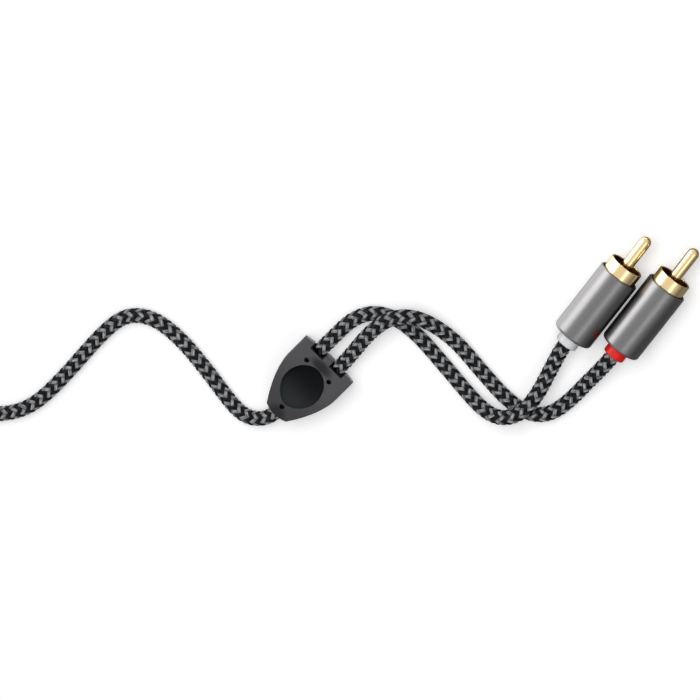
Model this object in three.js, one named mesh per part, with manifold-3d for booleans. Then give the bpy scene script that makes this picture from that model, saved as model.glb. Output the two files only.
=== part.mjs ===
// Stereo audio cable: two RCA plugs, a splitter, braided cords and a 3.5 mm jack plug.
// Millimetres, +Z up. The cable lies on the plane z = 0, and the origin is the middle of the
// splitter's underside. Each plug is drawn along its own +X axis, from the rear of its shell.

import * as THREE from 'three';
import { mergeVertices } from 'three/addons/utils/BufferGeometryUtils.js';
import Module from 'manifold-3d';

const wasm = await Module();
wasm.setup();

// Clearances
const gap = 0.3;            // between two pieces that meet
const plugSpacing = 0.5;    // between the shells of the two RCA plugs, side by side

// Cord
const cordDiameter = 4.2;
const cordSides = 10;
const cordStep = 5;         // one ring of the tube for each such length

// RCA plug
const collarDiameter = 9.5;
const collarWall = 0.5;
const collarProud = 3.4;    // beyond the rim of the shell
const collarDepth = 8;      // from its mouth to the seat of the insulator
const collarSeat = 2.5;     // thickness of that seat
const shellWall = 0.6;
const shellLength = 20.9;
const shellRearWall = 1.2;
const shellRearRound = 0.9;
const shellChamfer = 0.25;
const pinDiameter = 3.2;
const pinReach = 12.8;      // beyond the rim of the shell
const pinTailDiameter = 2.5;
const pinTailLength = 4;
const cupDepth = 2.5;       // solder cup in the tail of the pin
const insulatorDiameter = 5.6;
const insulatorFlange = 1.1;
const insulatorThickness = 1.2;
const signalWireDiameter = 1.1;
const groundWireDiameter = 0.7;

// Bush, on all three plugs
const bushDiameter = 6.1;
const bushProud = 2.8;
const bushFlange = 1.5;
const bushRecess = 2;       // how far the cord goes in, with the gap at its end

// Splitter
const splitterLength = 20.7;
const splitterWidth = 17.7;
const splitterTipWidth = 7.2;
const splitterHeight = 7.6;
const splitterWall = 1.2;
const splitterBevel = 0.35;
const splitterStraight = 7; // stretch behind the wide end that keeps its width
const splitterTaper = 1.7;  // power of the curve from there to the tip
const splitterBulge = 0.9;  // of the wide end face, at half height
const splitterEdgeBulge = 0.2;  // and at its edges
const middleDraft = 0.6;    // how far the wide end draws back at half height
const baseDraft = 1.6;      // and at the underside
const tipBulge = 0.8;       // of the tip, in the middle
const splitterEntry = 1;    // how far the trunk goes into the tip
const dishLength = 12.6;
const dishWidth = 10.8;
const dishDepth = 1.4;
const dishShift = -0.4;     // of the dish's middle, towards the tip
const dishPoint = 0.17;     // share of its width that it loses towards the tip
const dishSlope = 0.8;      // share of its half width that slopes
const postDiameter = 0.8;
const postDrop = 2.2;       // from the top face down to the end of a post
const bossWall = 0.7;       // round each post's hole, inside the top shell
const postInset = 4.35;     // from the wide end to its two posts
const postSpread = 8.3;     // between those two posts
const tipPostInset = 2.35;  // from the tip to its post
const exitSpacing = 7;      // between the two branches
const notchClearance = 0.2;     // beside a branch
const notchDepth = 1.4;
const branchEntry = 2.1;    // how far a branch goes into the wide end
const coreDiameter = 1.4;
const cradleLength = 6;
const cradleWidth = 8;
const cradleRise = 0.35;    // beyond the middle of the cores

// Jack plug
const contactDiameter = 3.5;
const contactLength = 14;
const tipLength = 4;
const ringLength = 2;
const bandLength = 0.6;
const tipRodDiameter = 0.6;
const ringTubeWall = 0.25;
const shoulderDiameter = 6.8;
const shoulderProud = 1;
const shoulderSeat = 3;     // thickness of the shoulder
const sleeveTailWall = 0.6;
const jackShellWall = 0.8;
const jackShellLength = 22;
const sleeveTail = 4;       // how far each contact runs back from the shoulder's face
const ringTail = 5.5;
const tipTail = 7;
const jackWireDiameter = 0.6;

// Coil of the trunk, and its ties
const coilEdge = -87.5;         // its side towards the splitter
const coilOuterRadius = 28.4;   // of the outermost turn's centreline
const coilTurns = 2.5;          // in the lower layer; the upper one has half a turn less
const turnGap = 0.2;            // between turns that lie beside each other
const layerGap = 0.1;           // between the two layers
const tieThickness = 0.8;
const tieWidth = 4;
const tieAngles = [120, 205];   // where the lower layer has three turns, degrees

// Places on the plane, chosen so that the cable lies in loose waves
const splitterTurn = 45;            // direction of the splitter's wide end, degrees
const plugTurn = 52.3;              // direction of the RCA plugs, degrees
const whitePlugRear = [72.29, 14.49];
const redPlugLead = 5.4;            // how far the red plug lies ahead of the white one
const jackRearAlong = 11;           // rear of the jack's shell, which points along +Y
const jackTurn = 90;
const trunkLine = -10.4;            // on which the trunk runs up to the coil
const tailReach = 17.5;             // from the coil's middle to where the cord leaves it

// Sizes that follow from the ones above
const cordRadius = cordDiameter / 2;
const collarRadius = collarDiameter / 2;
const shellBore = collarRadius + gap;
const shellRadius = shellBore + shellWall;
const bushRadius = bushDiameter / 2;
const cordStop = -bushProud + bushRecess - gap;     // end of a cord, along its plug
const seatRear = shellLength + collarProud - collarDepth - collarSeat;
const jackShellBore = shoulderDiameter / 2 + gap;
const jackShellRadius = jackShellBore + jackShellWall;
const splitterMiddle = splitterHeight / 2;
const cordRest = cordRadius + 0.05;                 // centreline of a cord on the plane
const crossOver = cordRest + cordDiameter + gap / 2;    // and of one that lies over another
const turnPitch = cordDiameter + turnGap;
const layerPitch = cordDiameter + layerGap;
const coilBottom = tieThickness + gap;
const coilTop = coilBottom + cordDiameter + layerPitch;
const coilLow = coilOuterRadius - coilTurns * turnPitch - cordRadius;
const coilHigh = coilOuterRadius + cordRadius;
const coilMiddle = [coilEdge - coilHigh, trunkLine + coilOuterRadius];
const jackRear = [
  coilMiddle[0] - coilHigh - tieThickness - jackShellRadius - plugSpacing, jackRearAlong,
];
const rad = THREE.MathUtils.degToRad;

// Closed meshes and solids

function closedMesh(geometry) {
  const bare = geometry.index ? geometry.toNonIndexed() : geometry.clone();
  for (const name of Object.keys(bare.attributes)) {
    if (name !== 'position') bare.deleteAttribute(name);
  }
  const merged = mergeVertices(bare, 1e-4);
  const place = merged.attributes.position;
  const corner = [new THREE.Vector3(), new THREE.Vector3(), new THREE.Vector3()];
  const kept = [];
  let volume = 0;
  for (let i = 0; i < merged.index.count; i += 3) {
    const three = [0, 1, 2].map((k) => merged.index.getX(i + k));
    if (new Set(three).size < 3) continue;
    three.forEach((index, k) => corner[k].fromBufferAttribute(place, index));
    volume += corner[0].dot(corner[1].clone().cross(corner[2]));
    kept.push(three);
  }
  const outward = volume > 0 ? kept : kept.map(([a, b, c]) => [a, c, b]);
  merged.setIndex(outward.flat());
  return merged;
}

function solid(geometry) {
  const mesh = closedMesh(geometry);
  return new wasm.Manifold(new wasm.Mesh({
    numProp: 3,
    vertProperties: new Float32Array(mesh.attributes.position.array),
    triVerts: new Uint32Array(mesh.index.array),
  }));
}

function geometryOf(body) {
  const mesh = body.getMesh();
  const geometry = new THREE.BufferGeometry();
  geometry.setAttribute('position', new THREE.BufferAttribute(mesh.vertProperties, 3));
  geometry.setIndex(new THREE.BufferAttribute(mesh.triVerts, 1));
  return geometry;
}

// A turned shape along +X: profile points are [station, radius]
function turned(profile, segments = 24) {
  const points = profile.map(([station, radius]) => new THREE.Vector2(radius, station));
  return new THREE.LatheGeometry(points, segments).rotateZ(-Math.PI / 2);
}

// A turned shape with a bore closes on its first point
function turnedRing(profile, segments = 24) {
  return turned([...profile, profile[0]], segments);
}

function roundSection(radius, sides) {
  const shape = new THREE.Shape();
  for (let i = 0; i < sides; i++) {
    const angle = 2 * Math.PI * i / sides;
    const method = i === 0 ? 'moveTo' : 'lineTo';
    shape[method](radius * Math.cos(angle), radius * Math.sin(angle));
  }
  return shape;
}

function tube(points, radius, sides, step) {
  const route = new THREE.CatmullRomCurve3(points.map((p) => new THREE.Vector3(...p)));
  const steps = Math.max(2, Math.round(route.getLength() / step));
  return new THREE.ExtrudeGeometry(roundSection(radius, sides), { extrudePath: route, steps });
}

function wire(points, diameter) {
  return tube(points, diameter / 2, 8, 2.5);
}

// A solid between outlines that lie on each other, each with the same number of points
function stacked(rings) {
  const count = rings[0].length;
  const places = rings.flat().flatMap((p) => [p.x, p.y, p.z]);
  const faces = [];
  for (let level = 0; level + 1 < rings.length; level++) {
    for (let i = 0; i < count; i++) {
      const a = level * count + i;
      const b = level * count + (i + 1) % count;
      faces.push(a, b, b + count, a, b + count, a + count);
    }
  }
  [[0, rings[0]], [(rings.length - 1) * count, rings.at(-1)]].forEach(([first, ring], end) => {
    const middle = ring.reduce((sum, p) => sum.add(p), new THREE.Vector3()).divideScalar(count);
    const hub = places.length / 3;
    places.push(middle.x, middle.y, middle.z);
    for (let i = 0; i < count; i++) {
      const a = first + i;
      const b = first + (i + 1) % count;
      faces.push(...(end ? [a, b, hub] : [b, a, hub]));
    }
  });
  const geometry = new THREE.BufferGeometry();
  geometry.setAttribute('position', new THREE.Float32BufferAttribute(places, 3));
  geometry.setIndex(faces);
  return geometry;
}

// Finishes

function finish(color, roughness, metalness) {
  return () => new THREE.MeshStandardMaterial({ color, roughness, metalness });
}

const gunmetal = finish(0x8d8c8a, 0.35, 1);
const gold = finish(0xe6c78f, 0.2, 1);
const blackPlastic = finish(0x17181a, 0.5, 0);
const greyPlastic = finish(0x48484a, 0.55, 0);
const whitePlastic = finish(0xd8d8d8, 0.4, 0);
const redPlastic = finish(0xd81f26, 0.4, 0);
const braid = finish(0x3a3b3d, 0.8, 0);
const copper = finish(0xb5714a, 0.35, 1);
const strap = finish(0x202124, 0.7, 0);

const cable = new THREE.Group();

function piece(group, name, geometry, material) {
  const mesh = new THREE.Mesh(closedMesh(geometry), material());
  mesh.name = name;
  group.add(mesh);
}

// Plugs

function bush(flangeRadius, rearWall) {
  const recess = cordRadius + gap;
  const bore = cordRadius - gap / 2;
  const neck = -bushProud + bushRecess;
  const front = rearWall + gap;
  return turnedRing([
    [-bushProud, recess], [-bushProud, bushRadius - gap / 2], [-bushProud + gap / 2, bushRadius],
    [front, bushRadius], [front, flangeRadius], [front + bushFlange, flangeRadius],
    [front + bushFlange, bore], [neck, bore], [neck, recess],
  ]);
}

function shell(bore, wall, length, rearWall) {
  const radius = bore + wall;
  const hole = bushRadius + gap;
  const round = [];
  for (let i = 0; i <= 4; i++) {
    const angle = Math.PI / 2 * i / 4;
    round.push([
      shellRearRound * (1 - Math.sin(angle)),
      radius - shellRearRound * (1 - Math.cos(angle)),
    ]);
  }
  return turnedRing([
    [0, hole], ...round.reverse(),
    [length - shellChamfer, radius], [length, radius - shellChamfer],
    [length, bore], [rearWall, bore], [rearWall, hole],
  ]);
}

function collar() {
  const mouth = shellLength + collarProud;
  const seat = mouth - collarDepth;
  const edge = collarWall / 4;
  const inner = collarRadius - collarWall;
  return turnedRing([
    [seatRear, insulatorDiameter / 2 + gap], [seatRear, collarRadius],
    [mouth - edge, collarRadius], [mouth, collarRadius - edge],
    [mouth, inner + edge], [mouth - edge, inner],
    [seat, inner], [seat, insulatorDiameter / 2 + gap],
  ]);
}

function insulator() {
  const radius = insulatorDiameter / 2;
  const bore = pinDiameter / 2 + gap;
  const seat = shellLength + collarProud - collarDepth + gap;
  return turnedRing([
    [seatRear, bore], [seatRear, radius], [seat, radius],
    [seat, radius + insulatorFlange], [seat + insulatorThickness, radius + insulatorFlange],
    [seat + insulatorThickness, bore],
  ], 20);
}

function roundNose(tip, radius, steps = 5) {
  const points = [];
  for (let i = 0; i <= steps; i++) {
    const angle = Math.PI / 2 * i / steps;
    points.push([tip - radius * (1 - Math.sin(angle)), radius * Math.cos(angle)]);
  }
  points[steps][1] = 0;
  return points;
}

function pin() {
  const tail = seatRear - pinTailLength;
  const cup = signalWireDiameter / 2 + gap;
  const radius = pinDiameter / 2;
  return turned([
    [tail + cupDepth, 0], [tail + cupDepth, cup], [tail, cup], [tail, pinTailDiameter / 2],
    [seatRear - gap, pinTailDiameter / 2], [seatRear, radius],
    ...roundNose(shellLength + pinReach, radius),
  ], 16);
}

// Each slot gives a wire room from the axis outwards, as deep as the wire goes
function innerMould(radius, start, end, rearBore, frontBore, frontStart, slots) {
  const body = solid(turnedRing([
    [start, rearBore], [start, radius], [end, radius],
    [end, frontBore], [frontStart, frontBore], [frontStart, rearBore],
  ], 20));
  return geometryOf(slots.reduce((cut, { width, depth, angle }) => {
    const slot = new THREE.BoxGeometry(2 * (end - start), width, depth);
    slot.translate((start + end) / 2, 0, depth / 2).rotateX(angle);
    return cut.subtract(solid(slot));
  }, body));
}

function straightRoute(start, end, offset) {
  return [[start, 0, offset], [(start + end) / 2, 0, offset], [end, 0, offset]];
}

function groundWireRoute(start, end, inner, outer) {
  const bend = start + (end - start) / 3;
  return [
    [start, 0, inner], [bend, 0, inner], [(bend + end) / 2, 0, (inner + outer) / 2],
    [end - bend / 2, 0, outer], [end, 0, outer],
  ];
}

function rcaPlug(name, bushFinish, rear) {
  const plug = new THREE.Group();
  plug.position.set(...rear, shellRadius);
  plug.rotation.z = rad(plugTurn);
  const mouldRadius = shellBore - gap;
  const mouldStart = shellRearWall + bushFlange + 2 * gap;
  const mouldEnd = seatRear - gap;
  const tail = seatRear - pinTailLength;
  const wireStart = cordStop + gap;
  const wireOffset = (signalWireDiameter + groundWireDiameter) / 2 + gap;
  const seatMiddle = (insulatorDiameter / 2 + gap + collarRadius) / 2;
  const groundSlot = { width: groundWireDiameter + 2 * gap, depth: shellBore, angle: 0 };
  piece(plug, `${name}_shell`, shell(shellBore, shellWall, shellLength, shellRearWall), gunmetal);
  piece(plug, `${name}_collar`, collar(), gold);
  piece(plug, `${name}_pin`, pin(), gold);
  piece(plug, `${name}_insulator`, insulator(), blackPlastic);
  piece(plug, `${name}_inner_mould`, innerMould(
    mouldRadius, mouldStart, mouldEnd, signalWireDiameter / 2 + gap,
    pinTailDiameter / 2 + gap, tail - gap, [groundSlot],
  ), blackPlastic);
  piece(plug, `${name}_bush`, bush(mouldRadius, shellRearWall), bushFinish);
  piece(plug, `${name}_signal_wire`, wire(
    straightRoute(wireStart, tail + cupDepth - gap, 0), signalWireDiameter,
  ), copper);
  piece(plug, `${name}_ground_wire`, wire(
    groundWireRoute(wireStart, seatRear - gap, wireOffset, seatMiddle), groundWireDiameter,
  ), copper);
  cable.add(plug);
}

function jackPlug() {
  const plug = new THREE.Group();
  plug.position.set(...jackRear, jackShellRadius);
  plug.rotation.z = rad(jackTurn);
  const radius = contactDiameter / 2;
  const rod = tipRodDiameter / 2;
  const ringBore = rod + gap;
  const ringRadius = ringBore + ringTubeWall;
  const sleeveBore = ringRadius + gap;
  const shoulder = shoulderDiameter / 2;
  const front = jackShellLength + shoulderProud;
  const end = front + contactLength;
  const tipBack = end - tipLength;
  const ringFront = tipBack - bandLength - 2 * gap;
  const ringBack = ringFront - ringLength;
  const sleeveFront = ringBack - bandLength - 2 * gap;
  const seat = front - shoulderSeat;
  const waist = radius * 0.75;
  const mouldRadius = jackShellBore - gap;
  const mouldStart = shellRearWall + bushFlange + 2 * gap;
  const wireStart = cordStop + gap;
  const wireOffset = (tipRodDiameter + jackWireDiameter) / 2 + gap;
  const sleeveEnd = front - sleeveTail;
  const sleeveOffset = sleeveBore + sleeveTailWall / 2;
  const slotWidth = jackWireDiameter + 2 * gap;
  piece(plug, 'jack_shell',
    shell(jackShellBore, jackShellWall, jackShellLength, shellRearWall), gunmetal);
  piece(plug, 'jack_sleeve_contact', turnedRing([
    [sleeveEnd, sleeveBore], [sleeveEnd, sleeveBore + sleeveTailWall],
    [seat, sleeveBore + sleeveTailWall], [seat, shoulder], [front, shoulder],
    [front, radius], [sleeveFront, radius], [sleeveFront, sleeveBore],
  ], 20), gold);
  piece(plug, 'jack_ring_contact', turnedRing([
    [front - ringTail, ringBore], [front - ringTail, ringRadius], [ringBack, ringRadius],
    [ringBack, radius], [ringFront, radius], [ringFront, ringBore],
  ], 16), gold);
  piece(plug, 'jack_tip_contact', turned([
    [front - tipTail, 0], [front - tipTail, rod], [tipBack, rod], [tipBack, radius],
    [tipBack + tipLength / 4, radius], [tipBack + tipLength / 3, waist],
    [end - tipLength / 2, radius], [end - tipLength / 4, radius * 0.7],
    [end - gap / 2, radius / 3], [end, 0],
  ], 16), gold);
  for (const [name, start, bore] of [
    ['jack_tip_insulator', ringFront + gap, rod + gap],
    ['jack_ring_insulator', sleeveFront + gap, ringRadius + gap],
  ]) {
    piece(plug, name, turnedRing([
      [start, bore], [start, radius], [start + bandLength, radius], [start + bandLength, bore],
    ], 16), blackPlastic);
  }
  piece(plug, 'jack_inner_mould', innerMould(
    mouldRadius, mouldStart, sleeveEnd - gap,
    jackWireDiameter / 2 + gap, ringRadius + gap, front - tipTail - gap,
    [
      { width: slotWidth, depth: jackShellBore, angle: 0 },
      { width: slotWidth, depth: wireOffset + slotWidth / 2, angle: Math.PI },
    ],
  ), blackPlastic);
  piece(plug, 'jack_bush', bush(mouldRadius, shellRearWall), greyPlastic);
  piece(plug, 'jack_left_wire', wire(
    straightRoute(wireStart, front - tipTail - gap, 0), jackWireDiameter,
  ), copper);
  piece(plug, 'jack_right_wire', wire(
    straightRoute(wireStart, front - ringTail - gap, -wireOffset), jackWireDiameter,
  ), copper);
  piece(plug, 'jack_ground_wire', wire(
    groundWireRoute(wireStart, sleeveEnd - gap, wireOffset, sleeveOffset), jackWireDiameter,
  ), copper);
  cable.add(plug);
}

// Splitter, drawn with its wide end towards +X

function splitterOutline(z, inset, bulge, draft = 0) {
  const tipEnd = inset - splitterLength / 2;
  const length = splitterLength / 2 - inset - draft - tipEnd;
  const half = splitterWidth / 2 - inset;
  const tip = splitterTipWidth / 2 - inset;
  const points = [];
  const add = (x, y) => points.push(new THREE.Vector3(x, y, z));
  const side = (sign) => {
    for (let i = 0; i <= 10; i++) {
      const back = length * (sign > 0 ? i / 10 : 1 - i / 10);
      const curved = Math.max(0, back - splitterStraight) / (length - splitterStraight);
      add(tipEnd + length - back, sign * (half - (half - tip) * curved ** splitterTaper));
    }
  };
  const crown = (steps, x, rise, width) => {
    for (let i = 1; i < steps; i++) {
      const t = 2 * i / steps - 1;
      add(x + rise * (1 - t * t), width * t);
    }
  };
  side(1);
  crown(6, tipEnd, -tipBulge, -tip);
  side(-1);
  crown(8, tipEnd + length, bulge, half);
  return points;
}

function eggOutline(z, inset) {
  const points = [];
  for (let i = 0; i < 32; i++) {
    const angle = 2 * Math.PI * i / 32;
    const along = Math.cos(angle);
    const pointed = 1 - dishPoint * Math.max(0, -along) ** 2;
    points.push(new THREE.Vector3(
      dishShift + (dishLength / 2 - inset) * along,
      (dishWidth / 2 - inset) * Math.sin(angle) * pointed, z,
    ));
  }
  return points;
}

function dish(extra) {
  const rim = splitterHeight + gap;
  const levels = [0, 0.3, 0.6, 0.85, 1].map((t) => eggOutline(
    splitterHeight - (dishDepth + extra) * Math.sqrt(1 - (1 - t) ** 2),
    t * (dishWidth / 2) * dishSlope - extra,
  ));
  return solid(stacked([eggOutline(rim, -extra), ...levels].reverse()));
}

function bore(radius, from, to, across, z) {
  const cylinder = new THREE.CylinderGeometry(radius, radius, to - from, 20);
  return solid(cylinder.rotateZ(Math.PI / 2).translate((from + to) / 2, across, z));
}

function upright(diameter, [x, y], from, to) {
  const cylinder = new THREE.CylinderGeometry(diameter / 2, diameter / 2, to - from, 12);
  return solid(cylinder.rotateX(Math.PI / 2).translate(x, y, (from + to) / 2));
}

const splitterEnd = splitterLength / 2;
const postPlaces = [
  [splitterEnd - postInset, postSpread / 2],
  [splitterEnd - postInset, -postSpread / 2],
  [-splitterEnd + tipPostInset, 0],
];

function entries(body) {
  const radius = cordRadius + gap;
  const z = splitterMiddle;
  const trunk = bore(
    radius, -splitterEnd - tipBulge - 1, -splitterEnd + splitterEntry + gap, 0, z,
  );
  const branches = [1, -1].map((sign) => bore(
    radius, splitterEnd - branchEntry - gap, splitterEnd + splitterBulge + 1,
    sign * exitSpacing / 2, z,
  ));
  return [trunk, ...branches].reduce((cut, hole) => cut.subtract(hole), body);
}

function cavity(from, to) {
  const room = splitterOutline(0, splitterWall, 0);
  const end = splitterEnd - branchEntry - gap;
  const start = -splitterEnd + splitterEntry + gap;
  const level = (z) => room.map((p) => new THREE.Vector3(
    THREE.MathUtils.clamp(p.x, start, end), p.y, z,
  ));
  return solid(stacked([level(from), level(to)]));
}

function bottomShell() {
  const top = splitterMiddle - gap / 2;
  const outer = solid(stacked([
    splitterOutline(0, splitterBevel, splitterEdgeBulge, baseDraft),
    splitterOutline(splitterBevel, 0, splitterEdgeBulge, baseDraft),
    splitterOutline(top, 0, splitterBulge, middleDraft),
  ]));
  const hollow = cavity(splitterWall, top + gap);
  const open = entries(outer.subtract(hollow));
  const postTop = splitterHeight - postDrop;
  return postPlaces.reduce(
    (body, place) => body.add(upright(postDiameter, place, splitterWall / 2, postTop)), open,
  );
}

function topShell() {
  const bottom = splitterMiddle + gap / 2;
  const outer = solid(stacked([
    splitterOutline(bottom, 0, splitterBulge, middleDraft),
    splitterOutline(splitterHeight - splitterBevel, 0, splitterEdgeBulge),
    splitterOutline(splitterHeight, splitterBevel, 0),
  ]));
  const bossEnd = splitterMiddle + coreDiameter / 2 + gap;
  const holeDiameter = postDiameter + 2 * gap;
  const bosses = postPlaces.map(
    (place) => upright(holeDiameter + 2 * bossWall, place, bossEnd, splitterHeight),
  );
  const hollow = [dish(splitterWall), ...bosses].reduce(
    (room, body) => room.subtract(body), cavity(bottom - gap, splitterHeight - splitterWall),
  );
  const shelled = entries(outer.subtract(hollow).subtract(dish(0)));
  const notched = [1, -1].reduce((body, sign) => {
    const width = cordDiameter + 2 * notchClearance;
    const box = new THREE.BoxGeometry(2 * notchDepth, width, splitterHeight);
    box.translate(splitterEnd, sign * exitSpacing / 2, splitterMiddle + splitterHeight / 2);
    return body.subtract(solid(box));
  }, shelled);
  return postPlaces.reduce(
    (body, place) => body.subtract(upright(holeDiameter, place, 0, splitterHeight + 1)), notched,
  );
}

function coreRoute(sign) {
  const past = coreDiameter / 2 + gap + postDiameter / 2;
  const z = splitterMiddle;
  const start = -splitterEnd + splitterEntry + gap;
  const end = splitterEnd - branchEntry - gap;
  const [tipPost, widePost] = [postPlaces[2][0], postPlaces[0][0]];
  return [
    [start, sign * (past - gap), z], [tipPost, sign * past, z], [0, sign * past * 1.3, z],
    [widePost, sign * (postSpread / 2 - past), z], [end, sign * (exitSpacing / 2 - gap), z],
  ];
}

// The cores lie in two open grooves
function cradle() {
  const bottom = splitterWall + gap;
  const top = splitterMiddle + cradleRise;
  const block = new THREE.BoxGeometry(cradleLength, cradleWidth, top - bottom);
  block.translate(0, 0, (top + bottom) / 2);
  return [1, -1].reduce((body, sign) => {
    const groove = tube(coreRoute(sign), coreDiameter / 2 + gap, 10, 2.5);
    return body.subtract(solid(groove));
  }, solid(block));
}

function splitter() {
  const group = new THREE.Group();
  group.rotation.z = rad(splitterTurn);
  piece(group, 'splitter_top_shell', geometryOf(topShell()), greyPlastic);
  piece(group, 'splitter_bottom_shell', geometryOf(bottomShell()), greyPlastic);
  piece(group, 'splitter_core_cradle', geometryOf(cradle()), blackPlastic);
  piece(group, 'splitter_left_core', wire(coreRoute(1), coreDiameter), whitePlastic);
  piece(group, 'splitter_right_core', wire(coreRoute(-1), coreDiameter), redPlastic);
  cable.add(group);
}

// Coil and ties

function coil() {
  const round = cordRadius;
  const profile = [
    [coilBottom, coilLow + round], [coilBottom, coilHigh - round],
    [coilBottom + round, coilHigh], [coilBottom + cordDiameter, coilHigh],
    [coilTop, coilHigh - turnPitch], [coilTop, coilLow + turnPitch],
    [coilBottom + cordDiameter, coilLow], [coilBottom + round, coilLow],
  ];
  return turnedRing(profile, 48).rotateY(-Math.PI / 2).translate(...coilMiddle, 0);
}

function tie(angle) {
  const outline = (spread, low, high) => {
    const corner = turnPitch;
    return [
      [coilLow - spread, low], [coilHigh + spread, low],
      [coilHigh + spread, high - corner], [coilHigh + spread - corner, high],
      [coilLow - spread + corner, high], [coilLow - spread, high - corner],
    ].map(([x, y]) => new THREE.Vector2(x, y));
  };
  const shape = new THREE.Shape(outline(gap + tieThickness, 0, coilTop + gap + tieThickness));
  shape.holes.push(new THREE.Path(outline(gap, tieThickness, coilTop + gap)));
  const band = new THREE.ExtrudeGeometry(shape, { depth: tieWidth, bevelEnabled: false });
  band.rotateX(Math.PI / 2).translate(0, tieWidth / 2, 0);
  return band.rotateZ(rad(angle)).translate(...coilMiddle, 0);
}

// Cords: the points between the two ends are chosen by hand

function onPlug(rear, turn, radius, station) {
  return [
    rear[0] + station * Math.cos(rad(turn)), rear[1] + station * Math.sin(rad(turn)), radius,
  ];
}

function atSplitter(along, across) {
  const turn = rad(splitterTurn);
  return [
    along * Math.cos(turn) - across * Math.sin(turn),
    along * Math.sin(turn) + across * Math.cos(turn), splitterMiddle,
  ];
}

const redPlugRear = [
  whitePlugRear[0] + redPlugLead * Math.cos(rad(plugTurn))
    + (2 * shellRadius + plugSpacing) * Math.sin(rad(plugTurn)),
  whitePlugRear[1] + redPlugLead * Math.sin(rad(plugTurn))
    - (2 * shellRadius + plugSpacing) * Math.cos(rad(plugTurn)),
];

// The trunk stops where it would touch the outermost turn
const coilEntry = Math.sqrt((coilHigh + cordRadius + gap) ** 2 - coilOuterRadius ** 2);

const trunkRoute = [
  atSplitter(-splitterEnd + splitterEntry, 0),
  [-7.7, -7.7, 3.7], [-9.8, -9.3, 3.4], [-12.5, -10.1, 2.95], [-15.4, -9.9, 2.5],
  [-18.0, -8.6, 2.2], [-20.0, -6.6, cordRest], [-21.9, -4.2, cordRest], [-24.1, -1.2, cordRest],
  [-26.6, 2.2, cordRest], [-29.3, 5.6, cordRest], [-32.0, 8.9, cordRest],
  [-34.8, 11.8, cordRest], [-37.7, 14.3, cordRest], [-40.9, 16.3, cordRest],
  [-44.4, 17.4, cordRest], [-48.0, 17.3, cordRest], [-51.4, 15.7, cordRest],
  [-54.5, 13.1, cordRest], [-57.5, 10.1, cordRest], [-60.6, 6.7, cordRest],
  [-63.7, 3.2, cordRest], [-66.8, -0.1, cordRest], [-70.1, -3.4, cordRest],
  [-73.6, -6.4, cordRest], [-77.5, -8.7, cordRest], [-82.0, -10.0, cordRest],
  [-87.0, trunkLine, cordRest], [-92.0, trunkLine, cordRest], [-97.0, trunkLine, 2.6],
  [coilMiddle[0] + coilEntry, trunkLine, coilBottom + cordRadius],
];

const whiteRoute = [
  atSplitter(splitterEnd - branchEntry, exitSpacing / 2),
  [6.4, 11.2, 3.6], [9.3, 14.1, 3.1], [12.2, 16.7, 2.5], [15.6, 18.5, cordRest],
  [19.2, 19.1, cordRest], [22.8, 18.4, cordRest], [26.2, 16.7, cordRest],
  [29.4, 14.2, cordRest], [32.5, 11.1, cordRest], [35.6, 7.5, cordRest],
  [38.8, 3.7, cordRest], [42.0, 0.0, 2.5], [45.1, -3.3, 3.3],
  [48.3, -6.0, 4.6], [51.8, -7.7, 5.8], [55.4, -7.7, crossOver],
  [58.7, -6.2, crossOver], [61.3, -3.6, 6.4], [63.6, -0.2, 5.7],
  [65.5, 3.4, 5.0], [67.4, 7.0, 4.8], [69.3, 10.5, 5.2],
  onPlug(whitePlugRear, plugTurn, shellRadius, cordStop),
];

const redRoute = [
  atSplitter(splitterEnd - branchEntry, -exitSpacing / 2),
  [11.4, 6.6, 4.0], [14.3, 10.0, 4.7], [17.2, 13.4, 5.7], [20.2, 16.2, 6.4],
  [23.6, 18.3, crossOver], [27.2, 19.2, crossOver], [30.8, 18.8, 6.3],
  [34.1, 17.3, 5.4], [37.2, 15.1, 4.2], [40.2, 12.4, 3.1], [43.2, 9.1, 2.4],
  [46.2, 5.4, cordRest], [49.3, 1.8, cordRest], [52.4, -1.7, cordRest],
  [55.7, -4.7, cordRest], [59.2, -6.9, cordRest], [62.9, -7.8, cordRest],
  [66.6, -6.9, cordRest], [69.9, -4.6, cordRest], [73.0, -1.7, 2.5],
  [75.8, 1.3, 3.2], [78.6, 4.2, 4.4], [81.5, 7.4, 5.4],
  onPlug(redPlugRear, plugTurn, shellRadius, cordStop),
];

const tailRoute = [
  [
    coilMiddle[0] - tailReach, trunkLine + turnPitch / 2, coilBottom + cordRadius + layerPitch,
  ],
  [-140.0, -7.9, 7.3], [-144.3, -6.5, 6.8], [-148.0, -3.8, 6.1], [-151.2, -0.4, 5.4],
  [-153.6, 3.4, 4.8],
  onPlug(jackRear, jackTurn, jackShellRadius, cordStop),
];

function cord(name, route) {
  piece(cable, name, tube(route, cordRadius, cordSides, cordStep), braid);
}

cord('trunk_cord', trunkRoute);
cord('trunk_tail', tailRoute);
cord('white_branch_cord', whiteRoute);
cord('red_branch_cord', redRoute);
piece(cable, 'trunk_coil', coil(), braid);
tieAngles.forEach((angle, i) => piece(cable, `coil_tie_${i + 1}`, tie(angle), strap));
splitter();
rcaPlug('white_plug', whitePlastic, whitePlugRear);
rcaPlug('red_plug', redPlastic, redPlugRear);
jackPlug();

export default cable;
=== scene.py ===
import logging
import math
from dataclasses import dataclass, field
from enum import Enum
from functools import cache
from typing import Any, ClassVar, Iterable, Sequence

import bmesh
import bpy
from mathutils import Matrix, Vector


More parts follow.
